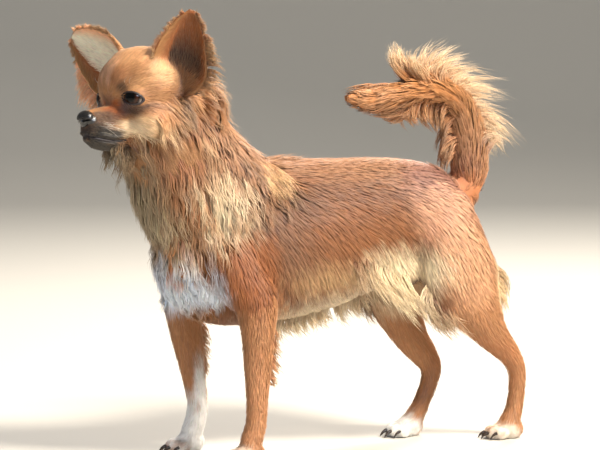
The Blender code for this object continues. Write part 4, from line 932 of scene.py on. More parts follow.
def weave(name, points, ups, root_colour, tip_colour, uv, width, seed, vary=0.09, thick=0.35, deep=0.12, soft=False):
    """Builds the strands as closed tapers, in as many pieces as the limit asks."""
    rng = np.random.default_rng(seed)
    strands, steps, _ = points.shape
    per_strand = (steps - 2) * 6 + 4
    pieces = math.ceil(strands * per_strand / PIECE_LIMIT)
    t = np.linspace(0, 1, steps)
    tone = np.exp(rng.normal(0, vary, (strands, 1))) * (1 + rng.normal(0, vary * 0.25, (strands, 3)))
    width = width * rng.uniform(0.75, 1.25, (strands, 1, 1))
    taper = (np.minimum(1, 0.6 + 1.2 * t) * (1 - t**2.2))[None, :-1, None]
    along = unit(np.gradient(points, axis=1))
    across = unit(np.cross(along, ups))
    above = np.cross(across, along)
    half = across[:, :-1] * width * taper / 2
    raised = above[:, :-1] * width * taper * thick
    rings = np.stack((points[:, :-1] + half, points[:, :-1] + raised, points[:, :-1] - half), 2)
    verts = np.concatenate((rings.reshape(strands, -1, 3), points[:, -1:]), 1)
    verts[:, :, 2] = np.maximum(verts[:, :, 2], 0.15)
    tilt = across[:, :-1] * ROUNDNESS
    facing = np.stack((above[:, :-1] + tilt, above[:, :-1], above[:, :-1] - tilt), 2).reshape(strands, -1, 3)
    facing = unit(np.concatenate((facing, above[:, -1:]), 1))
    shade = np.concatenate((np.repeat(t[:-1], 3), t[-1:]))[None, :, None]
    # Painted shade: each strand darkens towards its root, down in the coat
    root_shade = 1 - deep * np.maximum(0, 1 - shade * 2.2)
    blend = np.clip((shade - 0.25) / 0.75, 0, 1)
    colour = (root_colour[:, None] * (1 - blend) + tip_colour[:, None] * blend) * root_shade * tone[:, None]
    count = (steps - 1) * 3 + 1
    quads, tris = [], []
    for ring in range(steps - 2):
        a, b, c = (ring * 3, ring * 3 + 1, ring * 3 + 2)
        quads += [(a, a + 3, b + 3, b), (b, b + 3, c + 3, c), (c, c + 3, a + 3, a)]
    last = (steps - 2) * 3
    tris = [(last, count - 1, last + 1), (last + 1, count - 1, last + 2), (last + 2, count - 1, last), (0, 1, 2)]
    made = []
    order = np.array_split(np.argsort(points[:, 0, 1], kind="stable"), pieces)
    for number, rows in enumerate(order):
        base = np.arange(len(rows))[:, None, None] * count
        quad_verts = (np.array(quads)[None] + base).reshape(len(rows), -1)
        tri_verts = (np.array(tris)[None] + base).reshape(len(rows), -1)
        loops = np.concatenate((quad_verts, tri_verts), 1).ravel()
        sizes = np.tile([4] * len(quads) + [3] * len(tris), len(rows))
        mesh = bpy.data.meshes.new(name)
        mesh.vertices.add(len(rows) * count)
        mesh.vertices.foreach_set("co", ((verts[rows] + np.array(TO_ORIGIN)) * MM).ravel())
        mesh.loops.add(len(loops))
        mesh.loops.foreach_set("vertex_index", loops)
        mesh.polygons.add(len(sizes))
        mesh.polygons.foreach_set("loop_start", np.concatenate(([0], np.cumsum(sizes)[:-1])))
        layer = mesh.uv_layers.new(name="OFBake")
        patch = np.zeros((1, count, 2))
        patch[0, :-1, 0] = np.tile([-0.5, 0, 0.5], steps - 1) * UV_PATCH * 0.8
        patch[0, :, 1] = (shade[0, :, 0] - 0.5) * UV_PATCH
        flat = np.clip(uv[rows][:, None] + patch, 0.001, 0.999).reshape(-1, 2)
        layer.uv.foreach_set("vector", flat[loops].ravel())
        tone_layer = mesh.color_attributes.new("coat_colour", "FLOAT_COLOR", "POINT")
        full = np.concatenate((np.clip(colour[rows], 0, 1), np.ones((len(rows), count, 1))), 2)
        tone_layer.data.foreach_set("color", full.ravel())
        mesh.update(calc_edges=True)
        mesh.shade_smooth()
        if soft:
            mesh.normals_split_custom_set_from_vertices(facing[rows].reshape(-1, 3))
        mesh.materials.append(coat_finish)
        piece = bpy.data.objects.new(name + (f"_{number + 1}" if pieces > 1 else ""), mesh)
        bpy.context.scene.collection.objects.link(piece)
        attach(piece, "root")
        made.append(piece)
    print(name, strands, "strands", strands * per_strand, "triangles")
    return made


def fur(name, share, spacing, count, steps, width, seed, spread, clump, wave, stray, lift=1.0, long=1.0, curls=1.0, **ways_of):
    """Combed fur over a part of the hide."""
    rng = np.random.default_rng(seed)
    roots = scatter(share, spacing, seed)
    total = len(roots["place"])
    turn = rng.normal(0, 0.11, (total, 1))
    first = unit(roots["way"] + np.cross(roots["out"], roots["way"]) * turn)
    length = roots["length"] * rng.uniform(0.8, 1.2, total) * long
    rise = roots["depth"] * rng.uniform(0.7, 1.0, total) * lift
    points, ups = comb(roots["place"], first, first, length, rise, steps, **ways_of)
    colour = coat_colour(roots["place"], roots["out"], roots["label"])
    tip = coat_colour(points[:, -1], ups[:, -1], roots["label"])
    points, ups = brush(points, ups, count, spread, clump, wave, stray, 0.7, seed, curls)
    return points, ups, np.repeat(colour, count, 0), np.repeat(tip, count, 0), np.repeat(roots["uv"], count, 0)


CREAM = np.array(linear("#F3DDB8"))


def paler(colour, share):
    """A colour moved towards cream."""
    return colour * (1 - share) + CREAM * share


clear_of_eyes = np.clip((eye_reach(places) - 1.06) / 0.1, 0, 1)
clear_of_lips = np.clip((near_mouth - 0.9) / 1.0, 0.0, 1)
nose_gap = np.linalg.norm(placed_at(head_frame.inverted(), places) - (55, 0, -20), axis=1)
clear_of_nose = np.clip((nose_gap - 7.5) / 2.0, 0, 1)
is_label = {label: (labels == i).astype(float) for i, label in enumerate(LABELS)}

points, ups, colour, tip, uv = fur("body", is_label["body"], 2.0, 2, 2, 0.8, 11, 1.0, 0.3, 0.2, 0.4, 0.8, sink=0.4)
weave("coat_body", points, ups, colour, paler(tip, 0.04), uv, 0.74, 12, deep=0.06, soft=True)
points, ups, colour, tip, uv = fur("legs", is_label["leg"], 1.42, 1, 2, 0.6, 21, 0.5, 0.3, 0.12, 0.2, 0.8, 1.15, sink=0.25)
weave("coat_legs", points, ups, colour, paler(tip, 0.1), uv, 0.68, 22, deep=0.05, soft=True)
face = is_label["head"] * clear_of_eyes * clear_of_lips * clear_of_nose
points, ups, colour, tip, uv = fur("head", face, 0.77, 1, 2, 0.5, 31, 0.3, 0.25, 0.1, 0.15, 0.9, 1.1, sink=0.12)
weave("coat_head", points, ups, colour, paler(tip, 0.1), uv, 0.5, 32, deep=0.04, soft=True)
points, ups, colour, tip, uv = fur("ears", is_label["ear"], 1.08, 1, 2, 0.5, 41, 0.4, 0.3, 0.12, 0.3, 1.4, sink=0.1)
weave("coat_ears", points, ups, colour, paler(tip, 0.12), uv, 0.5, 42, deep=0.05, soft=True)
points, ups, colour, tip, uv = fur(
    "neck", is_label["neck"], 5.5, 9, 5, 0.9, 51, 3.4, 0.7, 2.8, 1.4, 1.0, 1.0, follow=0.6, cling=False, fall=0.3, curls=1.3
)
weave("coat_neck", points, ups, colour, paler(tip, 0.12), uv, 0.9, 52, soft=True)
points, ups, colour, tip, uv = fur("tail", is_label["tail"], 4.2, 8, 3, 0.8, 61, 2.4, 0.5, 0.4, 0.8)
weave("coat_tail", points, ups, colour, paler(tip, 0.1), uv, 0.75, 62, soft=True)
at_tail = np.exp(-((np.linalg.norm(places - (101, 0, 191), axis=1) / 13) ** 2))
at_tail[at_tail < 0.1] = 0
points, ups, colour, tip, uv = fur("tail_base", at_tail, 2.6, 6, 3, 0.8, 65, 1.8, 0.4, 0.4, 0.6, 1.0, 1.2)
weave("coat_tail_base", points, ups, colour, paler(tip, 0.1), uv, 0.7, 66, soft=True)


# Long hair
# The plume, the brush below the tail, the tuft over the shoulder and the fringes are long guard hairs
# that leave the hide in sheaves. Each sheaf bends through a root, a middle and a tip.

# The plume, by x and z at the middle of the tail: root, middle and tip down the tail's back
PLUME = [
    ((47, 284), (35, 297), (28, 308)), ((52, 285), (38, 302), (39, 316)), ((61, 282), (49, 297), (46, 306)),
    ((67, 281), (57, 300), (68, 314)), ((74, 279), (69, 300), (99, 316)), ((82, 276), (80, 294), (110, 298)),
    ((88, 272), (87, 286), (125, 287)), ((94, 264), (98, 279), (145, 274)), ((100, 254), (104, 270), (141, 261)),
    ((103, 243), (110, 260), (139, 246)), ((105, 238), (116, 256), (157, 229)), ((107, 231), (120, 249), (150, 225)),
    ((109, 225), (120, 240), (139, 224)), ((111, 218), (120, 230), (126, 216)),
]
TAIL_BRUSH = [
    ((24, 273), (4, 275), (-15, 272)), ((41, 278), (16, 279), (-12, 274)), ((43, 268), (18, 266), (-8, 268)), ((46, 262), (27, 257), (0, 263)),
    ((49, 262), (36, 253), (16, 255)), ((48, 266), (43, 253), (49, 245)), ((57, 268), (54, 254), (65, 244)),
    ((67, 267), (64, 254), (74, 240)), ((79, 263), (74, 254), (78, 238)), ((86, 243), (78, 240), (76, 224)),
    ((86, 233), (77, 229), (76, 213)), ((87, 223), (79, 219), (80, 204)),
]
# Tuft over the shoulder: root, first and last way, length, first the left side's rows
SHOULDER_TUFT = [
    ((-100, -12, 224), (1, -0.35, 0.25), (0.3, -0.3, -1), 46), ((-97, -18, 222), (1, -0.45, 0.2), (0.2, -0.3, -1), 50),
    ((-102, -24, 217), (1, -0.5, 0.1), (0.1, -0.2, -1), 42), ((-98, 16, 223), (1, 0.4, 0.2), (0.2, 0.3, -1), 44),
    ((-102, 23, 216), (1, 0.5, 0.1), (0.1, 0.2, -1), 42),
]
# Fringe down flank and thigh, by x and z: root and tip of its first and last sheaf
FLANK_FRINGE = [((-14, 152), (-3, 119)), ((66, 104), (86, 76))]
REAR_TUFT = [
    ((104, 140), (120, 131), (124, 112)), ((106, 133), (121, 119), (120, 104)), ((109, 121), (118, 108), (124, 95)),
]
FLANK_Y, REAR_Y, FAR_LEG_SHIFT = 36, 25, -21
BELLY_FRINGE = (-68, 12, 13, 19)
FORELEG_FEATHER = [(100, 15), (90, 14), (76, 11), (61, 9)]
# Cheek and beard, in the head's frame: root, way, length
CHEEK_LOCKS = [((-8, 27, -12), (-0.5, 0.3, -1), 30), ((2, 27, -22), (-0.4, 0.2, -1), 28)]
BEARD_LOCKS = [((26, 6, -43), (-0.1, 0.1, -1), 15), ((17, 5, -44), (-0.1, 0, -1), 26)]
# Wisps behind the ears and down the nape, likewise
NAPE_WISPS = [((-30, 30, 6), (-0.7, 0.6, 0.1), 24), ((-38, 24, -6), (-0.9, 0.4, -0.1), 28), ((-44, 14, -18), (-1, 0.2, -0.3), 26)]
# Length of the hair past an ear's edges, by share of the ear's length
EAR_EDGE = ([0.1, 0.2, 0.3, 0.4, 0.54, 0.8, 1.0], [25, 25, 23, 24, 15, 7, 4], [12, 13, 12, 10, 8, 5, 4])


def between(rows, count, rng):
    """Values drawn evenly along a table, blended between its neighbouring rows."""
    rows = np.array(rows, float)
    spot = (np.arange(count) + rng.uniform(0, 1, count)) / count * (len(rows) - 1)
    low = np.minimum(spot.astype(int), len(rows) - 2)
    part = (spot - low).reshape((-1,) + (1,) * (rows.ndim - 1))
    return rows[low] * (1 - part) + rows[low + 1] * part


def sweep(roots, middles, tips, faces, steps, sink=1.2):
    """Paths that leave the hide and bend through a middle, at 0.55 of the way, to a tip."""
    near, out, uv, label = root_facts(roots)
    t = np.linspace(0, 1, steps + 1)[None, :, None]
    mid = 0.55
    first, second = (t - mid) * (t - 1) / mid, t * (t - 1) / (mid * (mid - 1))
    third = t * (t - mid) / (1 - mid)
    points = (near - out * sink)[:, None] * first + middles[:, None] * second + tips[:, None] * third
    ups = np.repeat(unit(faces)[:, None], steps + 1, 1)
    return points, ups, coat_colour(near, out, label), uv


def dress(name, paths, count, seed, width, spread, clump, wave, stray, pale, short=0.6, curls=1.0, **look):
    """Brushes sheaves of swept hair and weaves them."""
    points, ups, colour, uv = paths
    strands, above = brush(points, ups, count, spread, clump, wave, stray, short, seed, curls)
    colour = np.repeat(colour, count, 0)
    weave(name, strands, above, colour, paler(colour, pale), np.repeat(uv, count, 0), width, seed + 1, **look)


def tail_paths(rows, count, apart, seed):
    """Sheaves on the tail, those to either side shorter and leaning out."""
    rng = np.random.default_rng(seed)
    table = between(rows, count, rng)
    side = rng.uniform(-1, 1, count)
    reach = (1 - 0.14 * side**2) * rng.uniform(0.62, 1.1, count)
    at_y = np.column_stack((side * apart[0], side * (apart[0] + apart[1]) / 2, side * apart[1]))
    spots = np.stack((table[:, :, 0], at_y, table[:, :, 1]), 2)
    ways_in = unit((spots[:, 0] - spots[:, 1]) * (1, 0, 1))
    spots[:, 0] += ways_in * (side**2 * apart[2])[:, None]
    spots[:, 1:] = spots[:, :1] + (spots[:, 1:] - spots[:, :1]) * reach[:, None, None]
    spots[:, 1:] += rng.normal(0, 1.2, (count, 2, 3))
    faces = np.column_stack((rng.uniform(-0.5, 0.5, count), np.ones(count), rng.uniform(-0.5, 0.5, count)))
    return sweep(spots[:, 0], spots[:, 1], spots[:, 2], faces, 5)


dress("coat_plume", tail_paths(PLUME, 190, (10, 14.5, 13), 71), 14, 72, 0.6, 3.2, 0.95, 2.2, 1.6, 0.85, deep=0.0)
dress("coat_brush", tail_paths(TAIL_BRUSH, 150, (8, 5, 6), 73), 16, 74, 0.75, 2.6, 0.8, 0.8, 1.0, 0.25, deep=0.03)

rng = np.random.default_rng(81)
tuft = []
for rows, count in ((SHOULDER_TUFT[:3], 70), (SHOULDER_TUFT[3:], 60)):
    table = between([(*root, *first, *last, length) for root, first, last, length in rows], count, rng)
    table[:, :3] += rng.normal(0, 3.0, (count, 3))
    tuft.append(table)
tuft = np.concatenate(tuft)
near, out, uv, label = root_facts(tuft[:, :3])
long = tuft[:, 9] * rng.uniform(0.6, 1.05, len(tuft))
points, ups = comb(tuft[:, :3], tuft[:, 3:6], tuft[:, 6:9], long, np.full(len(tuft), 4.5), 5, follow=0.1)
gold = np.tile(linear("#CB9258"), (len(tuft), 1))
dress("coat_shoulder", (points, ups, gold, uv), 13, 82, 0.75, 3.0, 0.88, 1.4, 1.2, 0.4, soft=True)

rng = np.random.default_rng(91)
fringe = []
for out_side, shift in ((-1, 0), (1, FAR_LEG_SHIFT)):
    ends = between(FLANK_FRINGE, 120, rng)
    root = ends[:, 0] + rng.normal(0, 3.0, (120, 2))
    tip = root + (ends[:, 1] - ends[:, 0]) * rng.uniform(0.55, 1.15, (120, 1))
    middle = (root + tip) / 2 + (-3.5, -1)
    for spot, lift in ((root, 0.0), (middle, 3.5), (tip, 4.0)):
        level = []
        for x, z in zip(spot[:, 0] + shift, spot[:, 1]):
            met = hide.ray_cast(Vector((x, out_side * 90, z)), Vector((0, -out_side, 0)), 70)[0]
            level.append(max(abs(met.y), FLANK_Y - 4) if met else FLANK_Y - 2)
        level = np.array(level) + lift + rng.uniform(-1, 1, 120)
        fringe.append(np.column_stack((spot[:, 0] + shift, out_side * level, spot[:, 1])))
    table = between(REAR_TUFT, 22, rng)
    deep = REAR_Y + rng.uniform(-4, 4, 22)
    for i in range(3):
        spot = table[:, i] + rng.normal(0, 1.2, (22, 2))
        fringe.append(np.column_stack((spot[:, 0] + shift, out_side * (deep - (i == 2) * 3), spot[:, 1])))
    count = 46
    x = rng.uniform(BELLY_FRINGE[0], BELLY_FRINGE[1], count)
    y = out_side * rng.uniform(0, BELLY_FRINGE[2], count)
    level = [hide.ray_cast(Vector((a, b, 170)), Vector((0, 0, -1)), 120)[0].z for a, b in zip(x, y)]
    drop = BELLY_FRINGE[3] * rng.uniform(0.6, 1.2, count)
    fringe.append(np.column_stack((x, y, level)))
    fringe.append(np.column_stack((x - 1, y, level - drop * 0.5)))
    fringe.append(np.column_stack((x + rng.uniform(3, 9, count), y, level - drop)))
    heights = between(FORELEG_FEATHER, 26, rng)
    leg_x = (FORELEG_LEFT if out_side < 0 else FORELEG_RIGHT)[4][0]
    leg_y = out_side * (36 + rng.uniform(-5, 5, 26))
    root = np.column_stack((np.full(26, leg_x + 12), leg_y, heights[:, 0]))
    long = heights[:, 1:] * rng.uniform(0.7, 1.1, (26, 1))
    fringe += [root, root + long * (0.2, 0, -0.5), root + long * (0.42, 0, -1)]
roots, middles, tips = (np.concatenate(fringe[i::3]) for i in range(3))
faces = np.column_stack((rng.uniform(-0.3, 0.3, len(roots)), np.sign(roots[:, 1]), rng.uniform(-0.2, 0.2, len(roots))))
dress("coat_fringes", sweep(roots, middles, tips, faces, 4), 11, 92, 0.6, 2.8, 0.9, 1.5, 1.6, 0.6)

rng = np.random.default_rng(101)
turn = np.array(head_frame.to_3x3())
roots, ways_out, long = [], [], []
for side in (1, -1):
    for place, way, length in CHEEK_LOCKS:
        for _ in range(34):
            spot = np.array(place) * (1, side, 1) + rng.normal(0, 4.5, 3)
            roots.append(placed_at(head_frame, spot))
            ways_out.append(turned(head_frame, np.array(way) * (1, side, 1)))
            long.append(length * rng.uniform(0.55, 1.05))
near, out, uv, label = root_facts(roots)
points, ups = comb(roots, ways_out, ways_out, long, rng.uniform(2, 6, len(long)), 4, follow=0.25)
dress("coat_cheeks", (points, ups, coat_colour(near, out, label), uv), 12, 102, 0.7, 2.4, 0.7, 1.2, 1.3, 0.25, soft=True)
roots, ways_out, long = [], [], []
for side in (1, -1):
    for place, way, length in NAPE_WISPS:
        for _ in range(15):
            spot = np.array(place) * (1, side, 1) + rng.normal(0, 5.0, 3)
            roots.append(placed_at(head_frame, spot))
            ways_out.append(turned(head_frame, np.array(way) * (1, side, 1)) + rng.normal(0, 0.15, 3))
            long.append(length * rng.uniform(0.6, 1.1))
near, out, uv, label = root_facts(roots)
rise = rng.uniform(5, 10, len(long))
points, ups = comb(near, ways_out, ways_out, long, rise, 5, follow=0.1, cling=False, fall=0.9)
dress("coat_nape", (points, ups, coat_colour(near, out, label), uv), 8, 108, 0.42, 3.0, 0.85, 2.4, 2.0, 0.35, curls=1.3, soft=True)
roots, tips = [], []
for side in (1, -1):
    for place, way, length in BEARD_LOCKS:
        for _ in range(16):
            spot = np.array(place) * (1, side, 1) + rng.normal(0, 2.8, 3)
            roots.append(placed_at(head_frame, spot))
            tips.append(roots[-1] + np.array((-3, 0, -length * rng.uniform(0.5, 1.05))) + rng.normal(0, 1.5, 3))
roots, tips = np.array(roots), np.array(tips)
faces = rng.normal(0, 0.3, (len(roots), 3)) + (0.5, 1, 0)
points, ups, colour, uv = sweep(roots, (roots + tips) / 2 + (-2.5, 0, 0), tips, faces, 4)
olive = colour * 0.3 + np.array(linear("#75644A")) * 0.7
dress("coat_beard", (points, ups, olive, uv), 8, 104, 0.5, 2.4, 0.6, 2.0, 1.8, 0.15, curls=1.6)

rng = np.random.default_rng(111)
back_of_head = (head_frame.to_3x3() @ Vector((-1, 0, 0))).normalized()
roots, middles, tips, faces = [], [], [], []
for word, outer in (("left", 1), ("right", -1)):
    up = (head_frame.to_3x3() @ (Vector(EARS[word][1]) - Vector(EARS[word][0]))).normalized()
    for i in range(150):
        edge = 1 if i % 5 < 3 else -1
        along = 0.12 + 0.86 * rng.uniform(0, 1)
        length = np.interp(along, EAR_EDGE[0], EAR_EDGE[1 if edge > 0 else 2]) * rng.uniform(0.5, 1.0)
        share = edge * outer
        inside, rim = ear_point(word, along, share * 0.7), ear_point(word, along, share * 0.9)
        away = (rim - inside).normalized() + up * (0.2 + 0.5 * along) + back_of_head * 0.5
        away.normalize()
        roots.append(tuple(rim))
        middles.append(tuple(rim + away * (length * 0.5) + up * (length * 0.06)))
        tips.append(tuple(rim + away * length - up * (length * rng.uniform(0.0, 0.25))))
        faces.append(tuple(away.cross(up)))
paths = sweep(np.array(roots), np.array(middles), np.array(tips), np.array(faces), 3, 0.6)
dress("coat_ear_edges", paths, 9, 112, 0.5, 1.8, 0.5, 0.7, 1.2, 0.3)


# Eyes
# Two moist globes, each with a black pupil in a dark brown iris and a little white at its corner, held
# by black rims of bare lid that follow the opening.

GAZE_IN, GAZE_UP = 7.0, 6.0
# Section of a lid's rim: half width and half height of the opening, and distance from the globe's middle
LID_PROFILE = [(7.6, 3.8, 9.5), (7.8, 4.0, 10.0), (8.2, 4.5, 10.4), (8.9, 5.2, 10.1), (8.9, 5.2, 9.4), (7.6, 3.8, 8.8)]
LID_STEPS = 64
globe, tree, shader = new_material("moist_eye", Roughness=0.05, IOR=1.3)
shader.inputs["Coat Weight"].default_value = 0.1
shader.inputs["Coat Roughness"].default_value = 0.02
angle_seen = add_node(tree, "ShaderNodeAttribute", attribute_name="from_pupil")
where = add_node(tree, "ShaderNodeTexCoord")
fibre = add_node(tree, "ShaderNodeTexNoise", {"Vector": where.outputs["Object"], "Scale": 700.0, "Detail": 3.0})
shift = add_node(tree, "ShaderNodeMapRange", {0: fibre.outputs["Fac"], 3: -0.02, 4: 0.02})
total = add_node(tree, "ShaderNodeMath", {0: angle_seen.outputs["Fac"], 1: shift.outputs[0]}, operation="ADD")
bands = add_node(tree, "ShaderNodeValToRGB", {"Fac": total.outputs[0]})
BANDS = [(0.0, "#030303"), (0.22, "#040303"), (0.25, "#1E100A"), (0.37, "#3A1F12"), (0.47, "#120A07")]
BANDS += [(0.51, "#574A46"), (0.6, "#94877F"), (0.8, "#7A615A")]
while len(bands.color_ramp.elements) < len(BANDS):
    bands.color_ramp.elements.new(0.5)
for element, (stop, colour) in zip(bands.color_ramp.elements, BANDS):
    element.position = stop
    element.color = (*linear(colour), 1)
tree.links.new(bands.outputs[0], shader.inputs["Base Color"])
bare, tree, shader = new_material("bare_black_skin", Roughness=0.5)
where = add_node(tree, "ShaderNodeTexCoord")
cells = add_node(tree, "ShaderNodeTexVoronoi", {"Vector": where.outputs["Object"], "Scale": 1500.0})
tones = add_node(tree, "ShaderNodeMix", {0: cells.outputs["Distance"]}, data_type="RGBA")
tones.inputs[6].default_value = (*linear("#372C2D"), 1)
tones.inputs[7].default_value = (*linear("#1A1516"), 1)
pebble = add_node(tree, "ShaderNodeBump", {"Height": cells.outputs["Distance"], "Distance": 0.0002, "Strength": 0.5})
tree.links.new(tones.outputs[2], shader.inputs["Base Color"])
tree.links.new(pebble.outputs[0], shader.inputs["Normal"])


def tube(bm, points, radii, sides=10, closed=False):
    """A round run through points with its own radius at each, its ends capped or joined."""
    rings = []
    for i, (point, radius) in enumerate(zip(points, radii)):
        before = points[i - 1] if i or closed else points[0]
        after = points[(i + 1) % len(points)] if i + 1 < len(points) or closed else points[-1]
        ring = (after - before).to_track_quat("Z", "Y").to_matrix().to_4x4() @ Matrix.Scale(radius, 4)
        ring.translation = point
        rings.append(bmesh.ops.create_circle(bm, segments=sides, radius=1, matrix=to_row @ ring)["verts"])
    pairs = list(zip(rings, rings[1:])) + ([(rings[-1], rings[0])] if closed else [])
    for first, second in pairs:
        edges = {e for vert in first + second for e in vert.link_edges if e.is_wire or e.is_boundary}
        edges = [e for e in edges if all(v in first for v in e.verts) or all(v in second for v in e.verts)]
        bmesh.ops.bridge_loops(bm, edges=edges)
    if not closed:
        for end in (rings[0], rings[-1]):
            bm.faces.new(end)


for side, word in ((1, "left"), (-1, "right")):
    place = eye_frame(side)
    gaze = Matrix.Rotation(math.radians(-side * GAZE_IN), 4, "Z") @ Matrix.Rotation(math.radians(-GAZE_UP), 4, "Y")
    bm = bmesh.new()
    look = place @ gaze @ Matrix.Rotation(math.radians(90), 4, "Y")
    ball = bmesh.ops.create_uvsphere(bm, u_segments=64, v_segments=48, radius=EYE_RADIUS, matrix=look)["verts"]
    centre = look.translation
    ahead = (look.to_3x3() @ Vector((0, 0, 1))).normalized()
    angles = []
    for vert in bm.verts:
        angle = ahead.angle(vert.co - centre)
        bulge = 0.6 * max(0.0, 1 - (angle / 0.7) ** 2)
        vert.co += (vert.co - centre).normalized() * bulge
        angles.append(angle / (math.pi / 2))
        vert.co = to_row @ vert.co
    eyeball = new_object("eyeball_" + word, bm, globe)
    from_pupil = eyeball.data.attributes.new("from_pupil", "FLOAT", "POINT")
    from_pupil.data.foreach_set("value", angles)
    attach(eyeball, "root")
    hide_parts("eye_" + word)
    bm = bmesh.new()
    loops = []
    for wide, tall, radius in LID_PROFILE:
        loop = []
        for step in range(LID_STEPS):
            spin = math.tau * step / LID_STEPS
            level = math.sin(spin)
            y, z = wide * math.cos(spin), tall * level * (1 - 0.16 * math.cos(spin) ** 2)
            loop.append(bm.verts.new(to_row @ place @ Vector((math.sqrt(radius**2 - y * y - z * z), y, z))))
        loops.append(loop)
    for first, second in zip(loops, loops[1:] + loops[:1]):
        for i in range(LID_STEPS):
            bm.faces.new((first[i], first[(i + 1) % LID_STEPS], second[(i + 1) % LID_STEPS], second[i]))
    bmesh.ops.recalc_face_normals(bm, faces=bm.faces)
    rim_piece = new_object("lid_rim_" + word, bm, bare)
    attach(rim_piece, "root")


# Nose and lips
# The nose is black pebbled leather, moist, with comma-shaped nostrils. The lips are soft black skin,
# folded together along the mouth line.

NOSE_VOXEL = 0.42
bm = bmesh.new()
mass(bm, (52, 0, -18.8), (5.6, 7.8, 5.6), head_frame)
mass(bm, (53.0, 0, -22.2), (3.4, 4.2, 3.2), head_frame)
mass(bm, (48.5, 5.0, -21.5), (5.0, 3.4, 4.4), head_frame)
mass(bm, (48.5, -5.0, -21.5), (5.0, 3.4, 4.4), head_frame)
nose = melt(new_object("nose_leather_piece", bm), NOSE_VOXEL, 6)
for cutter_place, cutter_sizes in (
    ((57.6, 3.4, -20.0), (3.6, 1.7, 1.8)), ((57.6, -3.4, -20.0), (3.6, 1.7, 1.8)),
    ((55.6, 6.6, -20.4), (3.2, 2.8, 0.8)), ((55.6, -6.6, -20.4), (3.2, 2.8, 0.8)),
    ((59.2, 0, -23.0), (2.4, 0.35, 4.4)),
):
    bm = bmesh.new()
    mass(bm, cutter_place, cutter_sizes, head_frame)
    nostril = new_object("nostril", bm)
    cut = nose.modifiers.new("Nostril", "BOOLEAN")
    cut.operation = "DIFFERENCE"
    cut.solver = "MANIFOLD"
    cut.object = nostril
    apply_modifiers(nose)
    bpy.data.objects.remove(nostril)
soften = nose.modifiers.new("Soften", "SMOOTH")
soften.iterations = 3
apply_modifiers(nose)
leather, tree, shader = new_material("nose_leather", Roughness=0.32)
shader.inputs["Coat Weight"].default_value = 0.4
shader.inputs["Coat Roughness"].default_value = 0.15
where = add_node(tree, "ShaderNodeTexCoord")
cells = add_node(tree, "ShaderNodeTexVoronoi", {"Vector": where.outputs["Object"], "Scale": 1300.0})
tones = add_node(tree, "ShaderNodeMix", {0: cells.outputs["Distance"]}, data_type="RGBA")
tones.inputs[6].default_value = (*linear("#252221"), 1)
tones.inputs[7].default_value = (*linear("#100F0F"), 1)
pebble = add_node(
    tree, "ShaderNodeBump", {"Height": cells.outputs["Distance"], "Distance": 0.0003, "Strength": 0.7}, invert=True
)
tree.links.new(tones.outputs[2], shader.inputs["Base Color"])
tree.links.new(pebble.outputs[0], shader.inputs["Normal"])
nose.data.materials.clear()
nose.data.materials.append(leather)
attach(nose, "root")
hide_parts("nose")

head_up = (head_frame.to_3x3() @ Vector((0, 0, 1))).normalized()
bm = bmesh.new()
run = list(reversed(mouth_run[1])) + mouth_run[-1][1:]
inward = (head_frame @ Vector((28, 0, -34)))
for rise, radius in ((0.85, 0.95), (-0.9, 0.9)):
    path, radii = [], []
    for i, point in enumerate(run):
        share = abs(2 * i / (len(run) - 1) - 1)
        path.append(point + head_up * (rise * (1 - 0.75 * share**4)) + (inward - point).normalized() * 0.55)
        radii.append(radius * (1 - 0.55 * share**3))
    tube(bm, path, radii)
lips = new_object("lips", bm, bare)
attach(lips, "root")


# Claws
# Each toe ends in a dark horn claw, curved down to the floor.

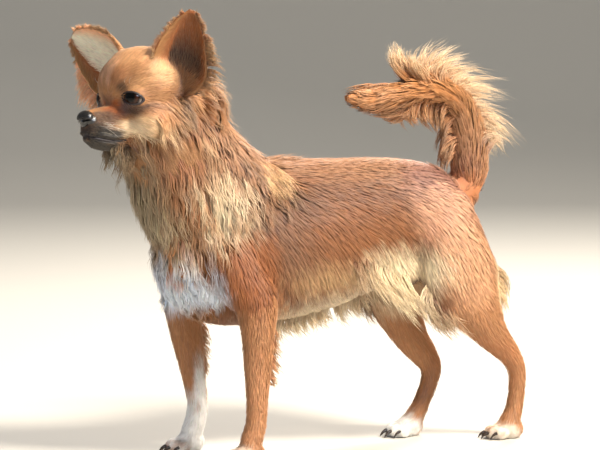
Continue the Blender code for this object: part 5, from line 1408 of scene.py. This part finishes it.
horn, tree, shader = new_material("dark_horn", Roughness=0.3)
where = add_node(tree, "ShaderNodeTexCoord")
layers = add_node(tree, "ShaderNodeTexNoise", {"Vector": where.outputs["Object"], "Scale": 800.0, "Detail": 2.0})
tones = add_node(tree, "ShaderNodeMix", {0: layers.outputs["Fac"]}, data_type="RGBA")
tones.inputs[6].default_value = (*linear("#1E1814"), 1)
tones.inputs[7].default_value = (*linear("#4A3A2E"), 1)
tree.links.new(tones.outputs[2], shader.inputs["Base Color"])
CLAW = [(0, 5.4, 1.5), (2.2, 5.0, 1.4), (4.2, 4.0, 1.1), (5.8, 2.5, 0.7), (6.8, 0.9, 0.25)]
bm = bmesh.new()
for name in PAWS:
    for forward, side, toe_size in TOES:
        base = forward + (TOE_SIZES[0] - 2.4) * toe_size
        path = [paw_frame(name) @ Vector((base + ahead * toe_size, side, level)) for ahead, level, radius in CLAW]
        tube(bm, path, [radius * toe_size for ahead, level, radius in CLAW], 8)
claws = new_object("claws", bm, horn)
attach(claws, "root")


# Whiskers
# Stiff pale bristles stand from the upper lip and the brow.

rng = np.random.default_rng(121)
roots, middles, tips = [], [], []
for side in (1, -1):
    for _ in range(16):
        spot = np.array((44, 10 * side, -25)) + rng.normal(0, 1, 3) * (4, 0.5, 2.2)
        way = unit(np.array((-0.25 + rng.uniform(-0.3, 0.3), side, rng.uniform(-0.5, 0.1))))
        long = rng.uniform(11, 22)
        roots.append(placed_at(head_frame, spot))
        middles.append(roots[-1] + turned(head_frame, way) * long * 0.55)
        tips.append(roots[-1] + turned(head_frame, way) * long + (rng.uniform(1, 4), 0, -long * 0.16))
    for _ in range(2):
        spot = np.array((26, 17 * side, 4)) + rng.normal(0, 1.0, 3)
        way = unit(np.array((0.5, side * 0.7, 0.6)))
        long = rng.uniform(6, 9)
        roots.append(placed_at(head_frame, spot))
        middles.append(roots[-1] + turned(head_frame, way) * long * 0.55)
        tips.append(roots[-1] + turned(head_frame, way) * long + (2, 0, 1))
faces = rng.normal(0, 1, (len(roots), 3))
points, ups, colour, uv = sweep(np.array(roots), np.array(middles), np.array(tips), faces, 5, 0.5)
pale = np.tile(linear("#D9CDBD"), (len(roots), 1))
weave("whiskers", points, ups, pale, pale, uv, 0.3, 122)

visual_low, visual_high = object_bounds()
size = {"cad": [list(cad_low), list(cad_high)], "visual": [list(visual_low), list(visual_high)]}
